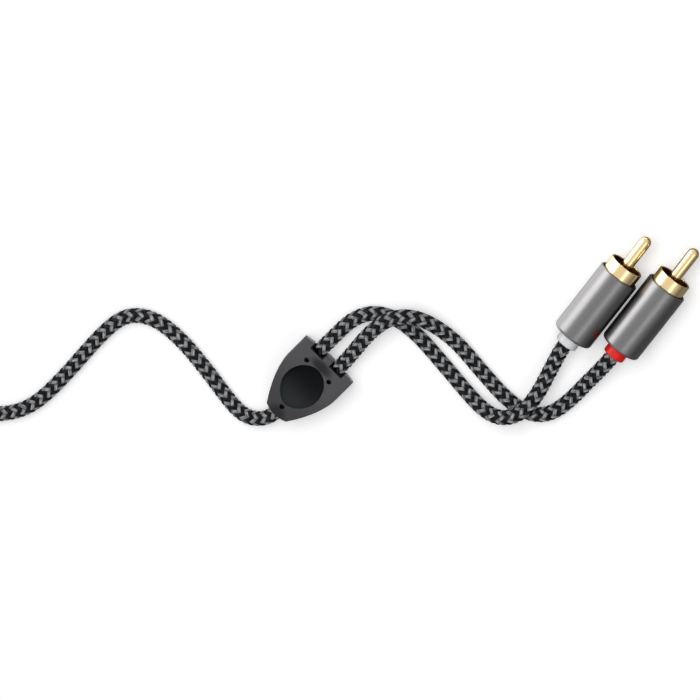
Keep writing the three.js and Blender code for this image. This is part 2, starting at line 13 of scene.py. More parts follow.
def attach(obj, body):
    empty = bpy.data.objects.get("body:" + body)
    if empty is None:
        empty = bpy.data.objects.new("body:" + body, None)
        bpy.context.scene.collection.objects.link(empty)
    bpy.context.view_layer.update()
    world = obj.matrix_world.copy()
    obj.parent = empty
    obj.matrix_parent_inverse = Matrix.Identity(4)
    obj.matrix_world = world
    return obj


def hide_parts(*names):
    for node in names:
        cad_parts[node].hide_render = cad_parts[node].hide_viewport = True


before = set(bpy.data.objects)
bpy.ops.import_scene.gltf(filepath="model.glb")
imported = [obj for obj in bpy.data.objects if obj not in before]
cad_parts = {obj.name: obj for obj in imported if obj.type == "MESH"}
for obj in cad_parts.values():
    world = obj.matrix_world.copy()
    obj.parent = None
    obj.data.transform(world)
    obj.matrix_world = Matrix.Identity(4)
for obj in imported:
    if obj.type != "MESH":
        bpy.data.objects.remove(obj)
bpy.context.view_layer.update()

# Sizes below are in millimetres, as a maker writes them; Blender's are in metres
MM = 0.001
FIT_GAP = 0.3
ON_AXIS = 1e-6
ROUNDING = 0.01
# The splitter's long axis is turned this far from +X, in degrees
SPLITTER_TURN = 45.0
LOG = logging.getLogger("audio_cable")

Colour = tuple[float, float, float]
Profile = list[tuple[float, float]]
Outline = list[tuple[float, float]]


def tone(red: int, green: int, blue: int) -> Colour:
    """Turn a colour as seen on a screen, 0 to 255, into linear light.

    Args:
        red: Red as seen.
        green: Green as seen.
        blue: Blue as seen.

    Returns:
        The colour in linear light, 0 to 1.
    """
    return tuple(((c / 255 + 0.055) / 1.055) ** 2.4 for c in (red, green, blue))


class Signal:
    """A number that varies over a surface, written like a Python number."""

    def __init__(self, graph: "Graph", socket: bpy.types.NodeSocket) -> None:
        """Wrap an output socket.

        Args:
            graph: The node graph that the socket is in.
            socket: The output that carries the number.
        """
        self.graph = graph
        self.socket = socket

    def _with(self, operation: str, first: Any, second: Any) -> "Signal":
        """Add one Math node.

        Args:
            operation: The Math node's operation.
            first: Its first value or signal.
            second: Its second value or signal.

        Returns:
            The result.
        """
        return self.graph.signal(
            "ShaderNodeMath", {"operation": operation}, {0: first, 1: second}
        )

    def __add__(self, other: Any) -> "Signal":
        """Sum of two signals."""
        return self._with("ADD", self, other)

    def __radd__(self, other: Any) -> "Signal":
        """Sum with a plain number in front."""
        return self._with("ADD", other, self)

    def __sub__(self, other: Any) -> "Signal":
        """Difference of two signals."""
        return self._with("SUBTRACT", self, other)

    def __rsub__(self, other: Any) -> "Signal":
        """Difference from a plain number."""
        return self._with("SUBTRACT", other, self)

    def __mul__(self, other: Any) -> "Signal":
        """Product of two signals."""
        return self._with("MULTIPLY", self, other)

    def __rmul__(self, other: Any) -> "Signal":
        """Product with a plain number in front."""
        return self._with("MULTIPLY", other, self)

    def __pow__(self, other: Any) -> "Signal":
        """Signal raised to a power."""
        return self._with("POWER", self, other)


class Graph:
    """A node graph, with one way to add a node."""

    def __init__(self, tree: bpy.types.NodeTree) -> None:
        """Empty the tree and keep it.

        Args:
            tree: The tree of a material or of the world.
        """
        self.tree = tree
        self.tree.nodes.clear()

    def feed(self, socket: bpy.types.NodeSocket, value: Any) -> None:
        """Give an input its link or its value.

        Args:
            socket: The input.
            value: A signal, an output socket or a plain value.
        """
        source = value.socket if isinstance(value, Signal) else value
        if isinstance(source, bpy.types.NodeSocket):
            self.tree.links.new(source, socket)
        elif socket.type == "RGBA":
            socket.default_value = (*source, 1)
        else:
            socket.default_value = source

    def node(
        self,
        kind: str,
        settings: dict[str, Any] | None = None,
        inputs: dict[str | int, Any] | None = None,
    ) -> bpy.types.Node:
        """Add a node.

        Args:
            kind: The node's type.
            settings: Its properties, set first; "stops" gives a ramp's places and colours.
            inputs: Values or links of its sockets.

        Returns:
            The node.
        """
        made = self.tree.nodes.new(kind)
        for name, value in (settings or {}).items():
            if name == "stops":
                ramp = made.color_ramp.elements
                for element, (place, colour) in zip(ramp, value):
                    element.position, element.color = place, (*colour, 1)
            else:
                setattr(made, name, value)
        for name, value in (inputs or {}).items():
            self.feed(made.inputs[name], value)
        return made

    def signal(
        self,
        kind: str,
        settings: dict[str, Any] | None = None,
        inputs: dict[str | int, Any] | None = None,
        output: str | int = 0,
    ) -> Signal:
        """Add a node and keep one output of it.

        Args:
            kind: The node's type.
            settings: Its properties.
            inputs: Values or links of its sockets.
            output: The output's name or number.

        Returns:
            The output as a signal.
        """
        return Signal(self, self.node(kind, settings, inputs).outputs[output])

    def noise(self, vector: Any, scale: float, detail: float = 3.0) -> Signal:
        """Add cloudy noise.

        Args:
            vector: Where it is read.
            scale: Its fineness.
            detail: Its octaves.

        Returns:
            The noise, 0 to 1.
        """
        return self.signal(
            "ShaderNodeTexNoise", None, {"Vector": vector, "Scale": scale, "Detail": detail}
        )

    def stretched(self, source: Any, scale: Sequence[float]) -> Signal:
        """Scale a place along its three axes.

        Args:
            source: The place.
            scale: One factor for each axis.

        Returns:
            The scaled place.
        """
        return self.signal(
            "ShaderNodeVectorMath", {"operation": "MULTIPLY"}, {0: source, 1: tuple(scale)}
        )

    def blend(self, amount: Any, low: Any, high: Any) -> bpy.types.NodeSocket:
        """Mix two colours.

        Args:
            amount: 0 for low and 1 for high.
            low: A colour or a colour socket.
            high: A colour or a colour socket.

        Returns:
            The mixed colour.
        """
        mix = self.node("ShaderNodeMix", {"data_type": "RGBA"}, {0: amount, 6: low, 7: high})
        return mix.outputs[2]

    def axes(self, source: Any) -> list[Signal]:
        """Split a place into its three axes.

        Args:
            source: The place.

        Returns:
            How far along each axis it is.
        """
        outputs = self.node("ShaderNodeSeparateXYZ", None, {0: source}).outputs
        return [Signal(self, output) for output in outputs]

    def eased(self, value: Any, low: float, high: float, ends: Sequence[float] = (0, 1)) -> Signal:
        """Go softly from one end to the other while a value goes from low to high.

        Args:
            value: The value.
            low: The value at which it starts.
            high: The value at which it stops.
            ends: What it gives before and after.

        Returns:
            The eased number.
        """
        return self.signal("ShaderNodeMapRange", {"interpolation_type": "SMOOTHSTEP"}, {
            "Value": value, "From Min": low, "From Max": high, "To Min": ends[0], "To Max": ends[1],
        })

    def mixed(self, amount: Any, low: bpy.types.Node, high: bpy.types.Node) -> bpy.types.Node:
        """Mix two shaders.

        Args:
            amount: 0 for low and 1 for high.
            low: A shader's node.
            high: A shader's node.

        Returns:
            The mix's node.
        """
        inputs = {0: amount, 1: low.outputs[0], 2: high.outputs[0]}
        return self.node("ShaderNodeMixShader", None, inputs)

    def bump(self, height: Signal, strength: float, distance: float) -> bpy.types.NodeSocket:
        """Turn a height into a normal.

        Args:
            height: The height, 0 to 1.
            strength: How much of it shows.
            distance: Its depth in millimetres.

        Returns:
            The normal.
        """
        inputs = {"Height": height, "Strength": strength, "Distance": distance * MM}
        return self.node("ShaderNodeBump", None, inputs).outputs[0]


@dataclass(frozen=True)
class Finish:
    """What all finishes share: a name, the record's slot and two main values."""

    name: str
    slot: str
    colour: Colour
    roughness: float

    def dress(self, graph: Graph) -> dict[str, Any]:
        """Give the main shader's inputs.

        Args:
            graph: The material's graph.

        Returns:
            Values or links for the shader, by socket.
        """
        raise NotImplementedError


@dataclass(frozen=True)
class Moulded(Finish):
    """Moulded plastic: fine mould texture, faint clouds in its tone."""

    cloud_scale: ClassVar[float] = 260
    grain_scale: ClassVar[float] = 5200
    unevenness: ClassVar[float] = 0.06
    relief: ClassVar[float] = 0.5
    texture: float = 0.012
    spread: float = 0.12
    level: float = 0.5

    def dress(self, graph: Graph) -> dict[str, Any]:
        """Give the shader of moulded plastic.

        Args:
            graph: The material's graph.

        Returns:
            Values or links for the shader, by socket.
        """
        place = graph.node("ShaderNodeTexCoord").outputs["Object"]
        clouds = graph.noise(place, self.cloud_scale, 4)
        grain = graph.noise(place, self.grain_scale, 2)
        darker = tuple(c * (1 - self.spread) for c in self.colour)
        lighter = tuple(c * (1 + self.spread) for c in self.colour)
        return {
            "Base Color": graph.blend(clouds, darker, lighter),
            "Roughness": self.roughness - self.unevenness + 2 * self.unevenness * clouds,
            "Specular IOR Level": self.level,
            "Normal": graph.bump(grain, self.relief, self.texture),
        }


@dataclass(frozen=True)
class OnSplitter(Moulded):
    """Moulded plastic with painted shade that changes along the splitter's own axis."""

    # The dark tone of the painted shade
    painted_shade: Colour = (0.01, 0.01, 0.01)
    reach: tuple[float, float] = (0, 1)

    @staticmethod
    def spot(graph: Graph) -> tuple[Signal, Signal]:
        """Give the place on the splitter's own axes.

        Args:
            graph: The material's graph.

        Returns:
            How far it is towards the wide end and to the left of that, in millimetres.
        """
        x, y, _ = graph.axes(graph.node("ShaderNodeTexCoord").outputs["Object"])
        turn = math.radians(SPLITTER_TURN)
        cos, sin = math.cos(turn) / MM, math.sin(turn) / MM
        return x * cos + y * sin, y * cos - x * sin


@dataclass(frozen=True)
class PaintedShadeDish(OnSplitter):
    """Moulded plastic of the dish with painted shade, darker still towards the wide end."""

    def dress(self, graph: Graph) -> dict[str, Any]:
        """Give the shader of the dish.

        Args:
            graph: The material's graph.

        Returns:
            Values or links for the shader, by socket.
        """
        given = super().dress(graph)
        along, _ = self.spot(graph)
        share = graph.eased(along, *self.reach)
        given["Base Color"] = graph.blend(share, given["Base Color"], self.painted_shade)
        return given


@dataclass(frozen=True)
class PaintedShadeFace(OnSplitter):
    """Moulded plastic of the splitter's face with painted shade: darker at its tip and in two soft
    spots.
    """

    # The tip's tone and the soft spots below are painted shade, not hollows in the face
    tip: Colour = (0.01, 0.01, 0.01)
    painted_shade_spots: tuple[tuple[float, float, float], ...] = ()

    def dress(self, graph: Graph) -> dict[str, Any]:
        """Give the shader of the face.

        Args:
            graph: The material's graph.

        Returns:
            Values or links for the shader, by socket.
        """
        given = super().dress(graph)
        along, across = self.spot(graph)
        # Painted shade: darker towards the tip, then darker in each soft spot
        share = graph.eased(along, *self.reach)
        given["Base Color"] = graph.blend(share, self.tip, given["Base Color"])
        for middle, half_along, half_across in self.painted_shade_spots:
            far, wide = (along - middle) * (1 / half_along), across * (1 / half_across)
            share = graph.eased(far * far + wide * wide, 0, 1, ends=(1, 0))
            given["Base Color"] = graph.blend(share, given["Base Color"], self.painted_shade)
        return given


@dataclass(frozen=True)
class Turned(Finish):
    """Turned or plated metal: fine rings round the axis, faint clouds."""

    ring_scale: ClassVar[tuple[float, float, float]] = (0.6, 6, 1)
    cloud_scale: ClassVar[tuple[float, float, float]] = (9, 0.35, 1)
    smooth_share: ClassVar[float] = 0.8
    ring_share: ClassVar[float] = 0.25
    cloud_share: ClassVar[float] = 0.15
    relief: ClassVar[float] = 0.35
    rings: float = 0.25
    depth: float = 0.003

    def dress(self, graph: Graph) -> dict[str, Any]:
        """Give the shader of turned metal.

        Args:
            graph: The material's graph.

        Returns:
            Values or links for the shader, by socket.
        """
        place = graph.node("ShaderNodeTexCoord").outputs["UV"]
        rings = graph.noise(graph.stretched(place, self.ring_scale), 1.0, 4)
        clouds = graph.noise(graph.stretched(place, self.cloud_scale), 1.0, 2)
        darker = tuple(c * (1 - self.rings) for c in self.colour)
        lighter = tuple(min(1, c * (1 + self.rings)) for c in self.colour)
        wear = self.smooth_share + self.ring_share * rings + self.cloud_share * clouds
        return {
            "Base Color": graph.blend(rings, darker, lighter),
            "Metallic": 1.0,
            "Roughness": self.roughness * wear,
            "Normal": graph.bump(rings, self.relief, self.depth),
        }


@dataclass(frozen=True)
class Yarn(Finish):
    """Braided yarn: streaks of single fibres run along it; painted shade darkens each float's sides
    and ends, a painted highlight its crest.
    """

    fibre_scale: ClassVar[tuple[float, float, float]] = (0.7, 9, 1)
    bundle_scale: ClassVar[tuple[float, float, float]] = (0.5, 3.4, 1)
    streak_span: ClassVar[tuple[float, float]] = (0.37, 0.68)
    # Share of the light colour left in the painted shade of the valleys
    valley: ClassVar[float] = 0.08
    crown_along: ClassVar[float] = 0.7
    crown_across: ClassVar[float] = 0.55
    unevenness: ClassVar[float] = 0.1
    relief: ClassVar[float] = 0.7
    depth: ClassVar[float] = 0.05
    light: Colour = (0.5, 0.5, 0.5)
    sheen: float = 0.25
    level: float = 0.12

    def dress(self, graph: Graph) -> dict[str, Any]:
        """Give the shader of yarn.

        Args:
            graph: The material's graph.

        Returns:
            Values or links for the shader, by socket.
        """
        place = graph.node("ShaderNodeTexCoord").outputs["UV"]
        fibres = graph.noise(graph.stretched(place, self.fibre_scale), 1.0, 3)
        bundles = graph.noise(graph.stretched(place, self.bundle_scale), 1.0, 2)
        low, high = self.streak_span
        streaks = graph.signal("ShaderNodeMapRange", None, {
            "Value": 0.5 * fibres + 0.5 * bundles, "From Min": low, "From Max": high,
        })
        along, across, _ = graph.axes(graph.node("ShaderNodeUVMap", {"uv_map": "Strand"}).outputs[0])
        # Painted shade and highlight: 1 on each float's crest, falling to 0 at its sides and where it
        # dives
        painted_light_along = (4 * along * (1 - along)) ** self.crown_along
        painted_light_across = (4 * across * (1 - across)) ** self.crown_across
        share = streaks * (self.valley + (1 - self.valley) * painted_light_along * painted_light_across)
        return {
            "Base Color": graph.blend(share, self.colour, self.light),
            "Roughness": self.roughness - self.unevenness + 2 * self.unevenness * fibres,
            "Sheen Weight": self.sheen,
            "Specular IOR Level": self.level,
            "Normal": graph.bump(fibres, self.relief, self.depth),
        }


@dataclass(frozen=True)
class Woven(Finish):
    """Narrow woven strap: a fine plain weave."""

    wobble: ClassVar[float] = 0.6
    lighter: ClassVar[float] = 2.2
    relief: ClassVar[float] = 0.6
    depth: ClassVar[float] = 0.08
    pitch: float = 0.35

    def dress(self, graph: Graph) -> dict[str, Any]:
        """Give the shader of a woven strap.

        Args:
            graph: The material's graph.

        Returns:
            Values or links for the shader, by socket.
        """
        place = graph.node("ShaderNodeTexCoord").outputs["Object"]
        inputs = {
            "Vector": place, "Scale": math.pi / (10 * self.pitch * MM), "Distortion": self.wobble,
        }
        warp, weft = (
            graph.signal("ShaderNodeTexWave", {"bands_direction": axis}, inputs, output="Fac")
            for axis in ("X", "Z")
        )
        weave = warp * weft
        light = tuple(self.lighter * c for c in self.colour)
        return {
            "Base Color": graph.blend(weave, self.colour, light),
            "Roughness": self.roughness + 0.1 * weave,
            "Normal": graph.bump(weave, self.relief, self.depth),
        }


@cache
def material_of(finish: Finish) -> bpy.types.Material:
    """Make a finish's material once.

    Args:
        finish: The finish.

    Returns:
        Its material.
    """
    material = bpy.data.materials.new(finish.name)
    material.use_nodes = True
    graph = Graph(material.node_tree)
    shader = graph.node("ShaderNodeBsdfPrincipled", None, finish.dress(graph))
    graph.node("ShaderNodeOutputMaterial", None, {"Surface": shader.outputs[0]})
    material.diffuse_color = (*finish.colour, 1)
    return material


GUNMETAL = Turned(
    "satin_gunmetal", "gunmetal", tone(124, 123, 123), 0.36, rings=0.08, depth=0.004,
)
GOLD = Turned("gold_plating", "gold_contact", tone(243, 214, 160), 0.2, rings=0.03, depth=0.001)
# Painted shade: a dark copy of the gold for the collar's inner wall
GOLD_PAINTED_SHADE = Turned("gold_painted_shade", "gold_contact", tone(92, 62, 28), 0.4, rings=0.04, depth=0.001)
COPPER = Turned("copper_wire", "copper_wire", tone(200, 128, 92), 0.3)
GREY_PLASTIC = Moulded("splitter_grey", "grey_plastic", tone(72, 72, 74), 0.55, level=0.2)
# Painted shade on the splitter's face: darker towards the tip, in a soft spot between the two holes
# near the wide end and in one at the tip
FACE_PLASTIC = PaintedShadeFace(
    "splitter_face", "grey_plastic", tone(80, 79, 82), 0.55, level=0.2, tip=tone(63, 63, 64),
    reach=(-8, 5), painted_shade=tone(30, 31, 34), painted_shade_spots=((7.4, 1.9, 4.6), (-10.6, 3.4, 3.4)),
)
# Painted shade: the dish is darker than the face, and darker still towards its steep wall at the wide
# end
DISH_PAINTED_SHADE = PaintedShadeDish(
    "dish_painted_shade", "grey_plastic", tone(50, 53, 54), 0.6, texture=0.004, level=0.04,
    painted_shade=tone(17, 18, 19), reach=(-8, 3),
)
# Painted shade: near-black plastic on the cut faces of the notches and post holes, where shade falls
SLOT_PAINTED_SHADE = Moulded("slot_painted_shade", "grey_plastic", tone(22, 22, 24), 0.7, level=0.1)
BLACK_PLASTIC = Moulded("black_insulation", "black_plastic", tone(18, 18, 20), 0.5)
WHITE_PLASTIC = Moulded(
    "white_marker", "white_plastic", tone(234, 235, 236), 0.38, texture=0.004, spread=0.02,
)
RED_PLASTIC = Moulded(
    "red_marker", "red_plastic", tone(240, 28, 22), 0.4, texture=0.004, spread=0.05, level=0.35,
)
STRAP = Woven("black_strap", "tie_strap", tone(40, 41, 44), 0.75)
BLACK_YARN = Yarn(
    "black_yarn", "braided_cord", tone(4, 4, 5), 0.6, light=tone(60, 62, 66), sheen=0.0, level=0.03,
)
GREY_YARN = Yarn(
    "grey_yarn", "braided_cord", tone(58, 59, 62), 0.62, light=tone(240, 241, 244), sheen=0.04,
)


class Bench:
    """Joins finished pieces to the frame and reports them."""

    @staticmethod
    def adopt(
        piece: bpy.types.Object, finishes: Sequence[Finish], nodes: Sequence[str] = ()
    ) -> bpy.types.Object:
        """Dress a new piece and put it in place of its nodes.

        Args:
            piece: The new piece.
            finishes: One finish for each of its material slots.
            nodes: The nodes that it stands for.

        Returns:
            The piece.
        """
        for finish in finishes:
            piece.data.materials.append(material_of(finish))
        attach(piece, "root")
        if nodes:
            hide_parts(*nodes)
        LOG.info("%s: %d faces, for %s", piece.name, len(piece.data.polygons), list(nodes))
        return piece

    @staticmethod
    def dress(node: str, finish: Finish) -> bpy.types.Object:
        """Give a node of the frame its finish.

        Args:
            node: The node's name.
            finish: Its finish.

        Returns:
            The node's object.
        """
        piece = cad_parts[node]
        if not piece.material_slots:
            piece.data.materials.append(None)
        for place in piece.material_slots:
            place.material = material_of(finish)
        LOG.info("%s: kept, in %s", node, finish.name)
        return piece


class MeshShop:
    """Makes closed meshes out of profiles and outlines."""

    @staticmethod
    def link(name: str, mesh: bpy.types.Mesh, sharp: float = 32.0) -> bpy.types.Object:
        """Shade a mesh smooth up to an angle and add it to the scene.

        Args:
            name: The piece's name.
            mesh: Its mesh, in metres.
            sharp: Edges with a larger angle than this stay sharp, in degrees.

        Returns:
            The new object.
        """
        mesh.polygons.foreach_set("use_smooth", [True] * len(mesh.polygons))
        mesh.set_sharp_from_angle(angle=math.radians(sharp))
        piece = bpy.data.objects.new(name, mesh)
        bpy.context.scene.collection.objects.link(piece)
        return piece

    @staticmethod
    def finished(name: str, made: bmesh.types.BMesh, place: Matrix) -> bpy.types.Object:
        """Make an object of a closed mesh.

        Args:
            name: The piece's name.
            made: The mesh, in millimetres, which is used up.
            place: Where it goes, in millimetres.

        Returns:
            The new object.
        """
        bmesh.ops.recalc_face_normals(made, faces=made.faces)
        made.transform(Matrix.Scale(MM, 4) @ place)
        mesh = bpy.data.meshes.new(name)
        made.to_mesh(mesh)
        made.free()
        return MeshShop.link(name, mesh)

    @staticmethod
    def bridged(
        made: bmesh.types.BMesh, low: Sequence[bmesh.types.BMVert], high: Sequence[bmesh.types.BMVert]
    ) -> None:
        """Join two closed rows of vertices with faces.

        Args:
            made: The mesh that they are in.
            low: The first row.
            high: The second row, with as many vertices.
        """
        for i in range(len(low)):
            j = (i + 1) % len(low)
            made.faces.new((low[i], low[j], high[j], high[i]))

    @staticmethod
    def filleted(corners: Iterable[Sequence[float]], steps: int = 8) -> Profile:
        """Round the corners of a line.

        Args:
            corners: Points of the line, each with the radius of its fillet if it has one.
            steps: Straight pieces in each fillet.

        Returns:
            The line's points.
        """
        corners = [(Vector(c[:2]), c[2] if len(c) > 2 else 0.0) for c in corners]
        line = []
        for i, (corner, radius) in enumerate(corners):
            if not radius or i in (0, len(corners) - 1):
                line.append(tuple(corner))
                continue
            back = (corners[i - 1][0] - corner).normalized()
            ahead = (corners[i + 1][0] - corner).normalized()
            half = back.angle(ahead) / 2
            reach = radius / math.tan(half)
            hub = corner + (back + ahead).normalized() * radius / math.sin(half)
            start, end = corner + back * reach - hub, corner + ahead * reach - hub
            sweep = start.angle_signed(end)
            for step in range(steps + 1):
                turn = Matrix.Rotation(-sweep * step / steps, 2)
                line.append(tuple(hub + turn @ start))
        return line

    @staticmethod
    def turned(
        name: str, profile: Profile, place: Matrix, segments: int = 96, ring: bool = True
    ) -> bpy.types.Object:
        """Turn a profile about the X axis.

        Args:
            name: The piece's name.
            profile: Its points, each a station along the axis and a radius, in millimetres.
            place: Where the turned piece goes, in millimetres.
            segments: Flats round the axis.
            ring: Whether the profile closes on its first point, or else ends on the axis.

        Returns:
            The new object. Its UV map has the turn in turns and the profile in millimetres.
        """
        made = bmesh.new()
        rows = []
        for station, radius in profile:
            if radius < ON_AXIS:
                rows.append([made.verts.new((station, 0, 0))] * segments)
                continue
            angles = (2 * math.pi * i / segments for i in range(segments))
            rows.append([
                made.verts.new((station, radius * math.sin(a), radius * math.cos(a)))
                for a in angles
            ])
        lengths = [0.0]
        closing = profile + [profile[0]] if ring else profile
        for a, b in zip(closing, closing[1:]):
            lengths.append(lengths[-1] + math.dist(a, b))
        chart = made.loops.layers.uv.new("UVMap")
        following = rows[1:] + rows[:1] if ring else rows[1:]
        for level, (low, high) in enumerate(zip(rows, following)):
            for i in range(segments):
                j = (i + 1) % segments
                corners = [
                    (low[i], i, level), (low[j], i + 1, level),
                    (high[j], i + 1, level + 1), (high[i], i, level + 1),
                ]
                kept = []
                for corner in corners:
                    if corner[0] not in [k[0] for k in kept]:
                        kept.append(corner)
                if len(kept) < 3:
                    continue
                face = made.faces.new([k[0] for k in kept])
                for loop, (_, turn, row) in zip(face.loops, kept):
                    loop[chart].uv = (turn / segments, lengths[row])
        return MeshShop.finished(name, made, place)

    @staticmethod
    def stacked(name: str, levels: Sequence[tuple[Outline, float]]) -> bpy.types.Object:
        """Join outlines that lie on each other.

        Args:
            name: The piece's name.
            levels: Outlines with as many points each, and their heights, in millimetres.

        Returns:
            The new object.
        """
        made = bmesh.new()
        rows = [[made.verts.new((x, y, z)) for x, y in outline] for outline, z in levels]
        for low, high in zip(rows, rows[1:]):
            MeshShop.bridged(made, low, high)
        made.faces.new(rows[0][::-1])
        made.faces.new(rows[-1])
        return MeshShop.finished(name, made, Matrix.Identity(4))

    @staticmethod
    def joined(
        piece: bpy.types.Object, other: bpy.types.Object, operation: str = "DIFFERENCE"
    ) -> None:
        """Cut one mesh with another, or add it, and remove the other.

        Args:
            piece: The mesh that is changed.
            other: The cutter or the addition.
            operation: DIFFERENCE or UNION.
        """
        step = piece.modifiers.new("join", "BOOLEAN")
        step.object, step.operation, step.solver = other, operation, "EXACT"
        step.material_mode = "TRANSFER"
        graph = bpy.context.evaluated_depsgraph_get()
        mesh = bpy.data.meshes.new_from_object(piece.evaluated_get(graph))
        piece.modifiers.clear()
        old, piece.data = piece.data, mesh
        bpy.data.meshes.remove(old)
        bpy.data.objects.remove(other)


@dataclass
class Route:
    """The smooth line that a cord follows, with a frame that doesn't twist."""

    corners: list[Vector]
    step: float = 0.5
    softening: int = 12
    samples: int = 24
    end_gap: float = 0.001
    line: list[Vector] = field(default_factory=list)
    sides: list[Vector] = field(default_factory=list)

    def __post_init__(self) -> None:
        """Sample the line at even steps and carry a side vector along it."""
        self.line = self._even(self._curved())
        for _ in range(self.softening):
            inner = [
                (a + 2 * b + c) / 4 for a, b, c in zip(self.line, self.line[1:], self.line[2:])
            ]
            self.line = [self.line[0], *inner, self.line[-1]]
        self.line = self._even(self.line)
        side = Vector((0, 0, 1))
        for i in range(len(self.line)):
            ahead = self._ahead(i)
            side = (side - ahead * side.dot(ahead)).normalized()
            self.sides.append(side)

    @property
    def length(self) -> float:
        """Length of the line in millimetres."""
        return self.step * (len(self.line) - 1)

    def _curved(self) -> list[Vector]:
        """Run a centripetal Catmull-Rom curve through the corners.

        Returns:
            Points close to each other, in millimetres.
        """
        points = self.corners
        ends = [2 * points[0] - points[1], *points, 2 * points[-1] - points[-2]]
        fine = []
        for p0, p1, p2, p3 in zip(ends, ends[1:], ends[2:], ends[3:]):
            t1 = (p1 - p0).length ** 0.5
            t2 = t1 + (p2 - p1).length ** 0.5
            t3 = t2 + (p3 - p2).length ** 0.5
            for i in range(self.samples):
                t = t1 + (t2 - t1) * i / self.samples
                a1 = p0.lerp(p1, t / t1)
                a2 = p1.lerp(p2, (t - t1) / (t2 - t1))
                a3 = p2.lerp(p3, (t - t2) / (t3 - t2))
                b1 = a1.lerp(a2, t / t2)
                b2 = a2.lerp(a3, (t - t1) / (t3 - t1))
                fine.append(b1.lerp(b2, (t - t1) / (t2 - t1)))
        return [*fine, points[-1].copy()]

    def _even(self, points: Sequence[Vector]) -> list[Vector]:
        """Space points evenly.

        Args:
            points: A fine line.

        Returns:
            The same line at steps of the same length, close to self.step.
        """
        total = sum((b - a).length for a, b in zip(points, points[1:]))
        count = max(2, round(total / self.step))
        self.step = total / count
        even, walked, wanted = [points[0].copy()], 0.0, self.step
        for a, b in zip(points, points[1:]):
            span = (b - a).length
            while span and wanted <= walked + span and len(even) < count:
                even.append(a.lerp(b, (wanted - walked) / span))
                wanted += self.step
            walked += span
        return [*even, points[-1].copy()]

    def spread(self, spacing: float) -> list[Vector]:
        """Give evenly spaced points of the line.

        Args:
            spacing: About how far apart they are, in millimetres.

        Returns:
            The points, in metres.
        """
        count = round(self.length / spacing)
        return [self.at(self.length * i / count, 0, 0) * MM for i in range(count + 1)]

    def _ahead(self, i: int) -> Vector:
        """Direction of the line at one of its points."""
        last = len(self.line) - 1
        return (self.line[min(i + 1, last)] - self.line[max(i - 1, 0)]).normalized()

    def at(self, distance: float, angle: float, radius: float) -> Vector:
        """Give a point on the cord's surface.

        Args:
            distance: How far along the cord, in millimetres.
            angle: Turn about the line, in radians.
            radius: Distance from the line, in millimetres.

        Returns:
            The point, in millimetres.
        """
        place = min(max(distance / self.step, 0), len(self.line) - 1 - self.end_gap)
        i = int(place)
        centre = self.line[i].lerp(self.line[i + 1], place - i)
        ahead = self._ahead(i).lerp(self._ahead(i + 1), place - i).normalized()
        side = self.sides[i].lerp(self.sides[i + 1], place - i)
        side = (side - ahead * side.dot(ahead)).normalized()
        across = ahead.cross(side)
        centre = centre + ahead * (distance - min(max(distance, 0), self.length))
        return centre + (side * math.cos(angle) + across * math.sin(angle)) * radius


@dataclass
class Braid:
    """A braided sleeve: strands of both hands, each over two and under two."""

    diameter: float = 4.2
    strands: int = 8
    lay_length: float = 11.4
    relief: float = 0.34
    flank_power: float = 2.4
    dive_power: float = 3.2
    splits: int = 3
    phase: float = 0.0

    @property
    def unit(self) -> float:
        """Length of cord that one strand's width takes up, in millimetres."""
        return self.lay_length / (2 * self.strands)

    def float_height(self, across: float, along: float) -> float:
        """Give the height of a strand where it lies on top.

        Args:
            across: Place across the strand, 0 to 1.
            along: Place along its stretch on top, 0 to 1.

        Returns:
            The height above the valleys, in millimetres.
        """
        round_off = 1 - abs(2 * across - 1) ** self.flank_power
        dive = 1 - abs(2 * along - 1) ** self.dive_power
        return self.relief * round_off * dive


